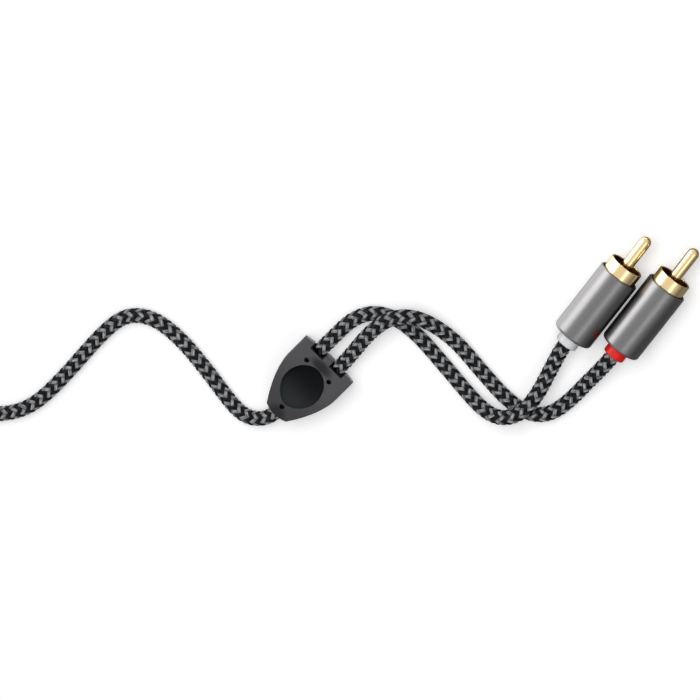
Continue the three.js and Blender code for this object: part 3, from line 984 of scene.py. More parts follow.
@dataclass
class Loom:
    """Weaves one sleeve along a route, on a fine lattice that follows both hands."""

    crease: ClassVar[float] = 80.0
    chart_gap: ClassVar[int] = 3
    braid: Braid
    route: Route
    rows: int = field(init=False)
    shift: float = field(init=False)
    places: list[Vector] = field(default_factory=list)
    faces: list[list[int]] = field(default_factory=list)
    shades: list[int] = field(default_factory=list)
    charts: dict[str, list[tuple[float, float]]] = field(
        default_factory=lambda: {"UVMap": [], "Strand": []}
    )
    known: dict[tuple[int, int], int] = field(default_factory=dict)

    def __post_init__(self) -> None:
        """Count the rows that fit, and centre them on the route."""
        self.rows = int(self.route.length / self.braid.unit)
        self.shift = (self.route.length - self.rows * self.braid.unit) / 2

    def corner(self, a: int, b: int, height: float) -> int:
        """Find or make the vertex at a place on the lattice.

        Args:
            a: Its step across the strands of the first hand.
            b: Its step across the strands of the second hand.
            height: How far it stands above the valleys, in millimetres.

        Returns:
            The vertex's number.
        """
        braid, splits = self.braid, self.braid.splits
        key = ((a + b) % (2 * braid.strands * splits), b - a)
        if key not in self.known:
            self.known[key] = len(self.places)
            radius = braid.diameter / 2 - braid.relief + height
            angle = math.pi * (key[0] / splits + braid.phase) / braid.strands
            along = self.shift + braid.unit * key[1] / splits
            self.places.append(self.route.at(along, angle, radius) * MM)
        return self.known[key]

    def weave(self, a: int, b: int, second: bool, shade: int) -> None:
        """Add the stretch of one strand that lies on top.

        Args:
            a: Where it starts across the strands of the first hand.
            b: Where it starts across the strands of the second hand.
            second: Whether it is a strand of the second hand.
            shade: Its material, 0 or 1.
        """
        k = self.braid.splits
        size = (2 * k, k) if second else (k, 2 * k)
        grid = {}
        for i in range(size[0] + 1):
            for j in range(size[1] + 1):
                across, along = (j / k, i / (2 * k)) if second else (i / k, j / (2 * k))
                height = self.braid.float_height(across, along)
                spot = (2 * along + self.chart_gap * a, across + self.chart_gap * b)
                grid[i, j] = (self.corner(a * k + i, b * k + j, height), spot, (along, across))
        for i in range(size[0]):
            for j in range(size[1]):
                quad = [grid[i, j], grid[i + 1, j], grid[i + 1, j + 1], grid[i, j + 1]]
                self.faces.append([q[0] for q in quad])
                self.charts["UVMap"].extend(q[1] for q in quad)
                self.charts["Strand"].extend(q[2] for q in quad)
                self.shades.append(shade)

    def close(self) -> None:
        """Cap both ends of the sleeve."""
        sides = {side for face in self.faces for side in zip(face, face[1:] + face[:1])}
        rims = [
            (a, b) for face in self.faces for a, b in zip(face, face[1:] + face[:1])
            if (b, a) not in sides
        ]
        line = self.route.line
        first, middle, last = line[0] * MM, line[len(line) // 2] * MM, line[-1] * MM
        for end, others in ((first, (middle, last)), (last, (middle, first))):
            hub, caps = len(self.places), []
            for a, b in rims:
                reach = (self.places[a] - end).length
                if all(reach < (self.places[a] - other).length for other in others):
                    caps.append([b, a, hub])
            self.places.append(end.copy())
            self.faces.extend(caps)
            self.shades.extend([0] * len(caps))
            for pairs in self.charts.values():
                pairs.extend([(0, 0)] * (3 * len(caps)))

    def build(self, name: str) -> bpy.types.Object:
        """Weave the sleeve.

        Args:
            name: The piece's name.

        Returns:
            The new object: black strands have material 0 and grey ones 1.
        """
        # Over two and under two: the hands come up in turn, each at every fourth diagonal,
        # and a stretch that would pass an end of the cord is left out
        for i in range(self.braid.strands):
            for j in range(i, i + self.rows + 1):
                if (i + j) % 4 == 0 and j - i >= 1 and j - i + 2 <= self.rows:
                    self.weave(i, j, False, i % 2)
                if (i + j) % 4 == 2 and j - i >= 2 and j - i + 1 <= self.rows:
                    self.weave(i, j, True, j % 2)
        self.close()
        mesh = bpy.data.meshes.new(name)
        mesh.from_pydata(self.places, [], self.faces)
        for title, pairs in self.charts.items():
            layer = mesh.uv_layers.new(name=title)
            layer.data.foreach_set("uv", [value for pair in pairs for value in pair])
        mesh.polygons.foreach_set("material_index", self.shades)
        made = bmesh.new()
        made.from_mesh(mesh)
        bmesh.ops.recalc_face_normals(made, faces=made.faces)
        made.to_mesh(mesh)
        made.free()
        return MeshShop.link(name, mesh, self.crease)


@dataclass
class Cord:
    """A free braided cord from the splitter to a plug."""

    name: str
    corners: list[Sequence[float]]
    nodes: tuple[str, ...]
    braid: Braid
    path_step: float = 2.0

    def build(self, far_pieces: Sequence[bpy.types.Object]) -> bpy.types.Object:
        """Args:
            far_pieces: The pieces of the plug at its far end; not used.

        Returns:
            The cord.
        """
        route = Route([Vector(c) for c in self.corners])
        piece = Loom(self.braid, route).build(self.name)
        Bench.adopt(piece, (BLACK_YARN, GREY_YARN), self.nodes)
        path = route.spread(self.path_step)
        LOG.info("%s is %.0f mm long", self.name, route.length)
        return piece


class Marker(Enum):
    """Which channel a phono plug is marked for."""

    WHITE = "white_plug"
    RED = "red_plug"


@dataclass
class Plug:
    """What both kinds of plug share: a shell on a bush, at a place on the floor."""

    lead_in: ClassVar[float] = 0.5
    name: str
    rear: tuple[float, float]
    turn: float
    bush_finish: Finish
    bore: float
    wall: float
    length: float
    rear_wall: float = 1.2
    rear_round: float = 0.9
    front_edge: float = 0.22
    bush_radius: float = 3.05
    bush_proud: float = 2.8
    bush_flange: float = 1.5
    bush_recess: float = 2.0
    cord_radius: float = 2.1

    @property
    def radius(self) -> float:
        """Outer radius of the shell."""
        return self.bore + self.wall

    @property
    def place(self) -> Matrix:
        """Where the rear of the shell is, with its axis along local X."""
        at = Matrix.Translation((*self.rear, self.radius))
        return at @ Matrix.Rotation(math.radians(self.turn), 4, "Z")

    @property
    def cord_end(self) -> Vector:
        """Where the cord ends in the bush."""
        return self.place @ Vector((self.bush_recess - self.bush_proud - FIT_GAP, 0, 0))

    def turned(
        self, part: str, corners: Iterable[Sequence[float]], finish: Finish, ring: bool = True
    ) -> bpy.types.Object:
        """Turn one piece of the plug in place of its node.

        Args:
            part: The last words of the node's name.
            corners: The profile, with a fillet radius where a corner is rounded.
            finish: The piece's finish.
            ring: Whether the profile closes on its first point.

        Returns:
            The piece.
        """
        profile = MeshShop.filleted(corners)
        piece = MeshShop.turned(f"{self.name}_{part}_turned", profile, self.place, ring=ring)
        return Bench.adopt(piece, (finish,), (f"{self.name}_{part}",))

    def shell(self) -> bpy.types.Object:
        """Make the shell: a tube with a rounded rear edge and a bevelled rim.

        Returns:
            The piece.
        """
        radius, edge, hole = self.radius, self.front_edge, self.bush_radius + FIT_GAP
        return self.turned("shell", [
            (self.rear_wall / 2, hole), (0, hole, 0.12), (0, radius, self.rear_round),
            (self.length - edge, radius, 0.05), (self.length, radius - edge, 0.05),
            (self.length, self.bore, 0.08), (self.rear_wall, self.bore),
            (self.rear_wall, hole), (self.rear_wall * 0.75, hole),
        ], GUNMETAL)

    def bush(self) -> bpy.types.Object:
        """Make the bush: a soft sleeve with a flange inside the shell.

        Returns:
            The piece.
        """
        recess, bore = self.cord_radius + FIT_GAP, self.cord_radius - FIT_GAP / 2
        rear, neck = -self.bush_proud, self.bush_recess - self.bush_proud
        front, flange = self.rear_wall + FIT_GAP, self.bore - FIT_GAP
        return self.turned("bush", [
            (neck - self.lead_in, recess), (rear, recess, 0.2), (rear, self.bush_radius, 0.35),
            (front, self.bush_radius), (front, flange, 0.1),
            (front + self.bush_flange, flange, 0.1), (front + self.bush_flange, bore),
            (neck, bore), (neck, recess),
        ], self.bush_finish)

    def keep(self, parts: dict[str, Finish]) -> list[bpy.types.Object]:
        """Dress the nodes that stay as they are.

        Args:
            parts: A finish for each, by the last words of its name.

        Returns:
            Their objects.
        """
        return [Bench.dress(f"{self.name}_{part}", finish) for part, finish in parts.items()]


@dataclass
class PhonoPlug(Plug):
    """A phono plug: gold collar and pin in a gunmetal shell."""

    collar_radius: float = 4.75
    collar_wall: float = 0.5
    collar_proud: float = 3.4
    collar_depth: float = 8.0
    collar_seat: float = 2.5
    insulator_radius: float = 2.8
    pin_radius: float = 1.6
    pin_reach: float = 12.8
    pin_tail: float = 4.0
    tail_radius: float = 1.25
    cup_radius: float = 0.85
    cup_depth: float = 2.5
    lip_width: float = 0.2
    nose_steps: int = 14

    def build(self) -> list[bpy.types.Object]:
        """Make all pieces of the plug.

        Returns:
            The pieces.
        """
        hidden = {
            "insulator": BLACK_PLASTIC, "inner_mould": BLACK_PLASTIC,
            "signal_wire": COPPER, "ground_wire": COPPER,
        }
        return [self.shell(), self.collar(), self.pin(), self.bush(), *self.keep(hidden)]

    @property
    def seat(self) -> float:
        """Station of the back of the collar."""
        return self.length + self.collar_proud - self.collar_depth - self.collar_seat

    def collar(self) -> bpy.types.Object:
        """Make the ground collar, with a softly rounded lip and painted shade on its inner wall.

        Returns:
            The piece.
        """
        mouth, hole = self.length + self.collar_proud, self.insulator_radius + FIT_GAP
        inner, floor = self.collar_radius - self.collar_wall, self.seat + self.collar_seat
        collar = self.turned("collar", [
            (floor - self.lead_in, hole), (self.seat, hole), (self.seat, self.collar_radius, 0.1),
            (mouth, self.collar_radius, 0.16), (mouth, inner, 0.16),
            (floor, inner), (floor, hole),
        ], GOLD)
        # Painted shade: the collar's inner wall gets the dark copy of the gold
        collar.data.materials.append(material_of(GOLD_PAINTED_SHADE))
        home = self.place.inverted()
        for polygon in collar.data.polygons:
            station, *across = home @ (polygon.center / MM)
            inside = math.hypot(*across) < inner + ROUNDING
            if floor < station < mouth - self.lip_width and inside:
                polygon.material_index = 1
        return collar

    def pin(self) -> bpy.types.Object:
        """Make the signal pin, round at its tip and cupped at its tail.

        Returns:
            The piece.
        """
        tail, tip = self.seat - self.pin_tail, self.length + self.pin_reach
        radius, steps = self.pin_radius, self.nose_steps
        nose = [
            (tip - radius * (1 - math.sin(a)), radius * math.cos(a))
            for a in (math.pi / 2 * i / steps for i in range(steps))
        ]
        return self.turned("pin", [
            (tail + self.cup_depth, 0), (tail + self.cup_depth, self.cup_radius),
            (tail, self.cup_radius), (tail, self.tail_radius),
            (self.seat - FIT_GAP, self.tail_radius), (self.seat, radius),
            *nose, (tip, 0),
        ], GOLD, ring=False)


@dataclass
class JackPlug(Plug):
    """A 3.5 mm stereo jack plug: tip, ring and sleeve on one stem."""

    contact_radius: float = 1.75
    contact_length: float = 14.0
    tip_length: float = 4.0
    ring_length: float = 2.0
    band_length: float = 0.6
    rod_radius: float = 0.3
    tube_wall: float = 0.25
    shoulder_radius: float = 3.4
    shoulder_proud: float = 1.0
    shoulder_seat: float = 3.0
    tail_wall: float = 0.6
    sleeve_tail: float = 4.0
    ring_tail: float = 5.5
    tip_tail: float = 7.0
    waist: float = 0.75
    nose: float = 0.7
    point: float = 0.12

    def build(self) -> list[bpy.types.Object]:
        """Make all pieces of the plug.

        Returns:
            The pieces.
        """
        front = self.length + self.shoulder_proud
        end, radius = front + self.contact_length, self.contact_radius
        tip_back = end - self.tip_length
        ring_front = tip_back - self.band_length - 2 * FIT_GAP
        ring_back = ring_front - self.ring_length
        sleeve_front = ring_back - self.band_length - 2 * FIT_GAP
        ring_bore = self.rod_radius + FIT_GAP
        ring_tube = ring_bore + self.tube_wall
        sleeve_bore = ring_tube + FIT_GAP
        seat, tube = front - self.shoulder_seat, sleeve_bore + self.tail_wall
        pieces = [self.shell(), self.bush()]
        pieces.append(self.turned("sleeve_contact", [
            (seat - self.lead_in, sleeve_bore), (front - self.sleeve_tail, sleeve_bore),
            (front - self.sleeve_tail, tube), (seat, tube), (seat, self.shoulder_radius),
            (front, self.shoulder_radius, 0.2), (front, radius, 0.1),
            (sleeve_front, radius, 0.06), (sleeve_front, sleeve_bore),
        ], GOLD))
        pieces.append(self.turned("ring_contact", [
            (ring_back - self.lead_in, ring_bore), (front - self.ring_tail, ring_bore),
            (front - self.ring_tail, ring_tube), (ring_back, ring_tube),
            (ring_back, radius, 0.06), (ring_front, radius, 0.06), (ring_front, ring_bore),
        ], GOLD))
        pieces.append(self.turned("tip_contact", [
            (front - self.tip_tail, 0), (front - self.tip_tail, self.rod_radius),
            (tip_back, self.rod_radius), (tip_back, radius, 0.06),
            (tip_back + self.tip_length / 4, radius, 0.3),
            (tip_back + self.tip_length / 3, radius * self.waist, 0.3),
            (end - self.tip_length / 2, radius, 0.6),
            (end - self.tip_length / 4, radius * self.nose, 0.8), (end - self.point, radius / 3, 0.2),
            (end, 0),
        ], GOLD, ring=False))
        for part, start, bore in (
            ("tip_insulator", ring_front + FIT_GAP, ring_bore),
            ("ring_insulator", sleeve_front + FIT_GAP, sleeve_bore),
        ):
            stop = start + self.band_length
            pieces.append(self.turned(part, [
                (start + 0.2, bore), (start, bore), (start, radius), (stop, radius), (stop, bore),
            ], BLACK_PLASTIC))
        return pieces + self.keep({
            "inner_mould": BLACK_PLASTIC, "left_wire": COPPER, "right_wire": COPPER,
            "ground_wire": COPPER,
        })


@dataclass
class Splitter:
    """The shield-shaped splitter: two shells on three posts, round a cradle."""

    turn: float = SPLITTER_TURN
    length: float = 20.7
    width: float = 17.7
    tip_width: float = 7.2
    height: float = 7.6
    wall: float = 1.2
    straight: float = 7.0
    taper: float = 1.7
    edge_round: float = 0.4
    bulge: float = 0.9
    edge_bulge: float = 0.2
    middle_draft: float = 0.6
    base_draft: float = 1.6
    tip_bulge: float = 0.8
    dish_length: float = 12.6
    dish_width: float = 10.8
    dish_depth: float = 1.4
    dish_shift: float = -0.4
    dish_point: float = 0.17
    dish_rim: float = 0.26
    dish_lean: float = 1.3
    post_radius: float = 0.4
    post_drop: float = 2.2
    boss_wall: float = 0.7
    core_radius: float = 0.7
    posts: tuple[tuple[float, float], ...] = ((6.0, 4.15), (6.0, -4.15), (-8.0, 0.0))
    exit_spacing: float = 7.0
    notch_width: float = 4.6
    notch_depth: float = 1.4
    entry: float = 1.0
    branch_entry: float = 2.1
    cord_radius: float = 2.1
    bowl_inset: float = 0.42
    side_steps: int = 40
    crown_steps: int = 24
    dish_points: int = 96
    rim_steps: int = 6
    bowl_steps: int = 16
    wall_steps: int = 5
    round_steps: int = 6
    bar_flats: int = 48
    crease: float = 28.0

    @property
    def middle(self) -> float:
        """Height of the parting line and of the cords."""
        return self.height / 2

    def spot(self, along: float, across: float) -> Vector:
        """Give a point at the cords' height, from the splitter's own axes.

        Args:
            along: Distance towards the wide end.
            across: Distance to the left of that.

        Returns:
            The point on the model's axes.
        """
        turn = Matrix.Rotation(math.radians(self.turn), 3, "Z")
        return turn @ Vector((along, across, self.middle))

    def crown(self, x: float, rise: float, width: float) -> Outline:
        """Bow a short end between its two corners.

        Args:
            x: Where the corners are along the splitter.
            rise: How far the middle stands out from them.
            width: Where the last corner is across the splitter.

        Returns:
            The points between the corners.
        """
        steps = [2 * i / self.crown_steps - 1 for i in range(1, self.crown_steps)]
        return [(x + rise * (1 - t * t), width * t) for t in steps]

    def outline(self, inset: float, bulge: float, draft: float = 0.0) -> Outline:
        """Draw the splitter from above.

        Args:
            inset: How far the line lies inside the true edge.
            bulge: How far the wide end bulges.
            draft: How far the wide end draws back.

        Returns:
            The outline, anticlockwise from the wide end.
        """
        half, tip = self.width / 2 - inset, self.tip_width / 2 - inset
        tip_end = inset - self.length / 2
        length = self.length / 2 - inset - draft - tip_end
        side = []
        for i in range(self.side_steps + 1):
            back = length * i / self.side_steps
            curved = max(0, back - self.straight) / (length - self.straight)
            side.append((tip_end + length - back, half - (half - tip) * curved ** self.taper))
        other = [(x, -y) for x, y in reversed(side)]
        return [
            *side, *self.crown(tip_end, -self.tip_bulge, -tip), *other,
            *self.crown(tip_end + length, bulge, half),
        ]

    def egg(self, inset: float) -> Outline:
        """Draw the dish from above.

        Args:
            inset: How far the line lies inside its rim.

        Returns:
            The outline, anticlockwise.
        """
        points = []
        for i in range(self.dish_points):
            angle = 2 * math.pi * i / self.dish_points
            pointed = 1 - self.dish_point * max(0, -math.cos(angle)) ** 2
            points.append((
                self.dish_shift + (self.dish_length / 2 - inset) * math.cos(angle),
                (self.dish_width / 2 - inset) * math.sin(angle) * pointed,
            ))
        return points

    def dish(self, extra: float = 0.0) -> bpy.types.Object:
        """Make the body that cuts the dish.

        Args:
            extra: How much larger it is all round.

        Returns:
            The cutter.
        """
        top, rim, steps = self.height, self.dish_rim, self.rim_steps
        flare = [
            (self.egg(-extra - rim * (1 - math.sin(a))), top - rim * (1 - math.cos(a)))
            for a in (math.pi / 2 * i / steps for i in range(1, steps + 1))
        ]
        bowl = []
        for i in range(1, self.bowl_steps):
            t = i / self.bowl_steps
            sunk = (self.dish_depth + extra - rim) * math.sqrt(1 - (1 - t) ** 2)
            egg = self.egg(self.bowl_inset * self.dish_width * t - extra)
            bowl.append(([(x + self.dish_lean * t, y) for x, y in egg], top - rim - sunk))
        levels = [(self.egg(-extra - rim), top + 1), (self.egg(-extra - rim), top), *flare, *bowl]
        return MeshShop.stacked("dish_cutter", levels[::-1])

    def round_bar(
        self, radius: float, start: Sequence[float], end: Sequence[float]
    ) -> bpy.types.Object:
        """Make a straight round bar, as a cutter or a post.

        Args:
            radius: Its radius.
            start: The middle of one end.
            end: The middle of the other end.

        Returns:
            The bar.
        """
        start, end = Vector(start), Vector(end)
        axis = Vector((1, 0, 0)).rotation_difference(end - start).to_matrix().to_4x4()
        length, place = (end - start).length, Matrix.Translation(start) @ axis
        profile = [(0, 0), (0, radius), (length, radius), (length, 0)]
        return MeshShop.turned("bar", profile, place, segments=self.bar_flats, ring=False)

    def hollow(self, low: float, high: float) -> bpy.types.Object:
        """Make the body that cuts the room inside.

        Args:
            low: Its floor.
            high: Its roof.

        Returns:
            The cutter.
        """
        start = -self.length / 2 + self.entry + FIT_GAP
        end = self.length / 2 - self.branch_entry - FIT_GAP
        room = [(x, y) for x, y in self.outline(self.wall, 0) if start < x < end]
        return MeshShop.stacked("hollow_cutter", [(room, low), (room, high)])

    def bored(self, shell: bpy.types.Object) -> None:
        """Cut the entries of the three cords.

        Args:
            shell: One of the two shells.
        """
        radius, far, z = self.cord_radius + FIT_GAP, self.length, self.middle
        stop = -self.length / 2 + self.entry + FIT_GAP
        MeshShop.joined(shell, self.round_bar(radius, (-far, 0, z), (stop, 0, z)))
        for sign in (1, -1):
            y = sign * self.exit_spacing / 2
            start = self.length / 2 - self.branch_entry - FIT_GAP
            MeshShop.joined(shell, self.round_bar(radius, (start, y, z), (far, y, z)))

    def finish(
        self, shell: bpy.types.Object, name: str, node: str, face: Finish
    ) -> bpy.types.Object:
        """Put a finished shell in its place.

        Args:
            shell: The shell on the splitter's own axes.
            name: The piece's name.
            node: The node that it stands for.
            face: The finish outside the dish.

        Returns:
            The piece.
        """
        mesh = shell.data
        mesh.transform(Matrix.Rotation(math.radians(self.turn), 4, "Z"))
        finishes = (face, DISH_PAINTED_SHADE, SLOT_PAINTED_SHADE)
        order = {material_of(finish): i for i, finish in enumerate(finishes)}
        places = [order.get(material, 0) for material in mesh.materials] or [0]
        shades = [places[polygon.material_index] for polygon in mesh.polygons]
        mesh.materials.clear()
        bpy.data.objects.remove(shell)
        piece = MeshShop.link(name, mesh, self.crease)
        Bench.adopt(piece, finishes, (node,))
        mesh.polygons.foreach_set("material_index", shades)
        return piece

    def rounded_levels(
        self, base: float, edge: float, draft: float
    ) -> list[tuple[Outline, float]]:
        """Give the outlines of a shell, from the parting line to its rounded edge.

        Args:
            base: Height of the parting line.
            edge: Height of the outer face.
            draft: How far the wide end draws back at the outer face.

        Returns:
            The outlines with their heights.
        """
        rounding = math.copysign(self.edge_round, edge - base)
        levels = []
        for i in range(self.wall_steps):
            turn = math.pi / 2 * i / self.wall_steps
            height = base + (edge - rounding - base) * i / self.wall_steps
            bulge = self.bulge + (self.edge_bulge - self.bulge) * (1 - math.cos(turn))
            drawn = self.middle_draft + (draft - self.middle_draft) * math.sin(turn)
            levels.append((self.outline(0, bulge, drawn), height))
        for i in range(self.round_steps + 1):
            turn = math.pi / 2 * i / self.round_steps
            inset = self.edge_round * (1 - math.cos(turn))
            height = edge - rounding * (1 - math.sin(turn))
            levels.append((self.outline(inset, self.edge_bulge, draft), height))
        return levels

    def top_shell(self) -> bpy.types.Object:
        """Make the upper shell with its dish, holes and notches.

        Returns:
            The piece.
        """
        base = self.middle + FIT_GAP / 2
        shell = MeshShop.stacked("top_blank", self.rounded_levels(base, self.height, 0))
        room = self.hollow(base - FIT_GAP, self.height - self.wall)
        MeshShop.joined(room, self.dish(self.wall))
        for x, y in self.posts:
            low = self.middle + self.core_radius + FIT_GAP
            radius = self.post_radius + FIT_GAP + self.boss_wall
            MeshShop.joined(room, self.round_bar(radius, (x, y, low), (x, y, self.height)))
        MeshShop.joined(shell, room)
        shell.data.materials.append(material_of(FACE_PLASTIC))
        dish = self.dish()
        # The dish's faces take the painted shade finish
        dish.data.materials.append(material_of(DISH_PAINTED_SHADE))
        MeshShop.joined(shell, dish)
        self.bored(shell)
        for sign in (1, -1):
            y, half = sign * self.exit_spacing / 2, self.notch_width / 2
            low, high = self.length / 2 - self.notch_depth, self.length
            box = [(low, y - half), (high, y - half), (high, y + half), (low, y + half)]
            cutter = MeshShop.stacked("notch", [(box, self.middle), (box, 2 * self.height)])
            # The notch's cut faces take the painted shade finish
            cutter.data.materials.append(material_of(SLOT_PAINTED_SHADE))
            MeshShop.joined(shell, cutter)
        for x, y in self.posts:
            hole = self.round_bar(self.post_radius + FIT_GAP, (x, y, 0), (x, y, 2 * self.height))
            # The hole's walls take the painted shade finish
            hole.data.materials.append(material_of(SLOT_PAINTED_SHADE))
            MeshShop.joined(shell, hole)
        return self.finish(shell, "splitter_top_moulding", "splitter_top_shell", FACE_PLASTIC)

    def bottom_shell(self) -> bpy.types.Object:
        """Make the lower shell with its three posts.

        Returns:
            The piece.
        """
        base = self.middle - FIT_GAP / 2
        shell = MeshShop.stacked("bottom_blank", self.rounded_levels(base, 0, self.base_draft)[::-1])
        MeshShop.joined(shell, self.hollow(self.wall, base + FIT_GAP))
        self.bored(shell)
        for x, y in self.posts:
            top = self.height - self.post_drop
            post = self.round_bar(self.post_radius, (x, y, self.wall / 2), (x, y, top))
            MeshShop.joined(shell, post, "UNION")
        return self.finish(
            shell, "splitter_bottom_moulding", "splitter_bottom_shell", GREY_PLASTIC
        )

    def build(self) -> list[bpy.types.Object]:
        """Make all pieces of the splitter.

        Returns:
            The pieces.
        """
        kept = {
            "splitter_core_cradle": BLACK_PLASTIC, "splitter_left_core": WHITE_PLASTIC,
            "splitter_right_core": RED_PLASTIC,
        }
        inner = [Bench.dress(node, finish) for node, finish in kept.items()]
        return [self.top_shell(), self.bottom_shell(), *inner]


@dataclass
class Coil:
    """The put-away length of the trunk: two flat layers of turns and two ties."""

    edge: float = -87.5
    line: float = -10.4
    outer_radius: float = 28.4
    turns: float = 2.5
    turn_pitch: float = 4.4
    layer_pitch: float = 4.3
    cord_radius: float = 2.1
    tie_angles: tuple[float, ...] = (120.0, 205.0)
    tie_thickness: float = 0.8
    tie_width: float = 4.0
    strap_edge: float = 0.15
    strap_steps: int = 8
    points_per_turn: int = 24
    rise_turns: float = 0.5
    start_angle: float = 270.0

    @property
    def middle(self) -> tuple[float, float]:
        """Centre of the coil on the floor."""
        return self.edge - self.outer_radius - self.cord_radius, self.line + self.outer_radius

    @property
    def bottom(self) -> float:
        """Height of the underside of the lower layer."""
        return self.tie_thickness + FIT_GAP

    def corners(self) -> list[Vector]:
        """Wind the cord: inwards below, up at the inside, outwards above.

        Returns:
            The points that the cord follows, from where it comes in to where it leaves.
        """
        inner = self.outer_radius - self.turns * self.turn_pitch
        outer = self.outer_radius - self.turn_pitch / 2
        low = self.bottom + self.cord_radius
        rise, above = self.rise_turns, (outer - inner) / self.turn_pitch
        points = []
        count = round((self.turns + rise + above) * self.points_per_turn)
        for i in range(count + 1):
            wound = i / self.points_per_turn
            if wound <= self.turns:
                radius, lift = self.outer_radius - self.turn_pitch * wound, 0.0
            elif wound <= self.turns + rise:
                climb = (wound - self.turns) / rise
                radius, lift = inner, climb * climb * (3 - 2 * climb)
            else:
                radius, lift = inner + self.turn_pitch * (wound - self.turns - rise), 1.0
            angle = 2 * math.pi * (self.start_angle / 360 - wound)
            points.append(Vector((
                self.middle[0] + radius * math.cos(angle),
                self.middle[1] + radius * math.sin(angle), low + lift * self.layer_pitch,
            )))
        return points

    def outer_turns(self, angle: float) -> list[tuple[float, float]]:
        """Find the turns at the corners of the coil's section.

        Args:
            angle: Where the section is, in degrees.

        Returns:
            How far out and how high their middles are, from the lower inner turn anticlockwise.
        """
        wound = (self.start_angle - angle) / 360
        outer = self.outer_radius - self.turn_pitch * wound
        inner = self.outer_radius - self.turn_pitch * (self.turns - wound)
        low = self.bottom + self.cord_radius
        high = low + self.layer_pitch
        return [
            (outer - 2 * self.turn_pitch, low), (outer, low),
            (inner + self.turn_pitch, high), (inner, high),
        ]

    def strap_line(self, angle: float, grow: float) -> Profile:
        """Draw the line of a strap that is drawn tight round the turns.

        Args:
            angle: Where the strap is, in degrees.
            grow: How far the line lies outside the strap's inner face.

        Returns:
            Its points, as how far out and how high they are.
        """
        turns, radius = self.outer_turns(angle), self.cord_radius + FIT_GAP + grow
        points = []
        for i, (out, up) in enumerate(turns):
            before, after = turns[i - 1], turns[(i + 1) % len(turns)]
            start = math.atan2(up - before[1], out - before[0]) - math.pi / 2
            sweep = math.atan2(after[1] - up, after[0] - out) - math.pi / 2 - start
            for step in range(self.strap_steps + 1):
                bend = start + sweep % (2 * math.pi) * step / self.strap_steps
                points.append((out + radius * math.cos(bend), up + radius * math.sin(bend)))
        return points

    def tie(self, number: int, angle: float) -> bpy.types.Object:
        """Make one tie, a strap round the turns.

        Args:
            number: Its number, from 1.
            angle: Its place round the coil, in degrees.

        Returns:
            The piece.
        """
        half, edge, thick = self.tie_width / 2, self.strap_edge, self.tie_thickness
        section = [
            (0, half), (thick - edge, half), (thick, half - edge),
            (thick, edge - half), (thick - edge, -half), (0, -half),
        ]
        made = bmesh.new()
        rows = [
            [made.verts.new((x, y, z)) for x, z in self.strap_line(angle, grow)]
            for grow, y in section
        ]
        for first, second in zip(rows, rows[1:] + rows[:1]):
            MeshShop.bridged(made, first, second)
        turn = Matrix.Rotation(math.radians(angle), 4, "Z")
        place = Matrix.Translation((*self.middle, 0)) @ turn
        piece = MeshShop.finished(f"coil_tie_{number}_strap", made, place)
        return Bench.adopt(piece, (STRAP,), (f"coil_tie_{number}",))

    def build(self) -> list[bpy.types.Object]:
        """Make the ties.

        Returns:
            The pieces.
        """
        return [self.tie(i + 1, angle) for i, angle in enumerate(self.tie_angles)]


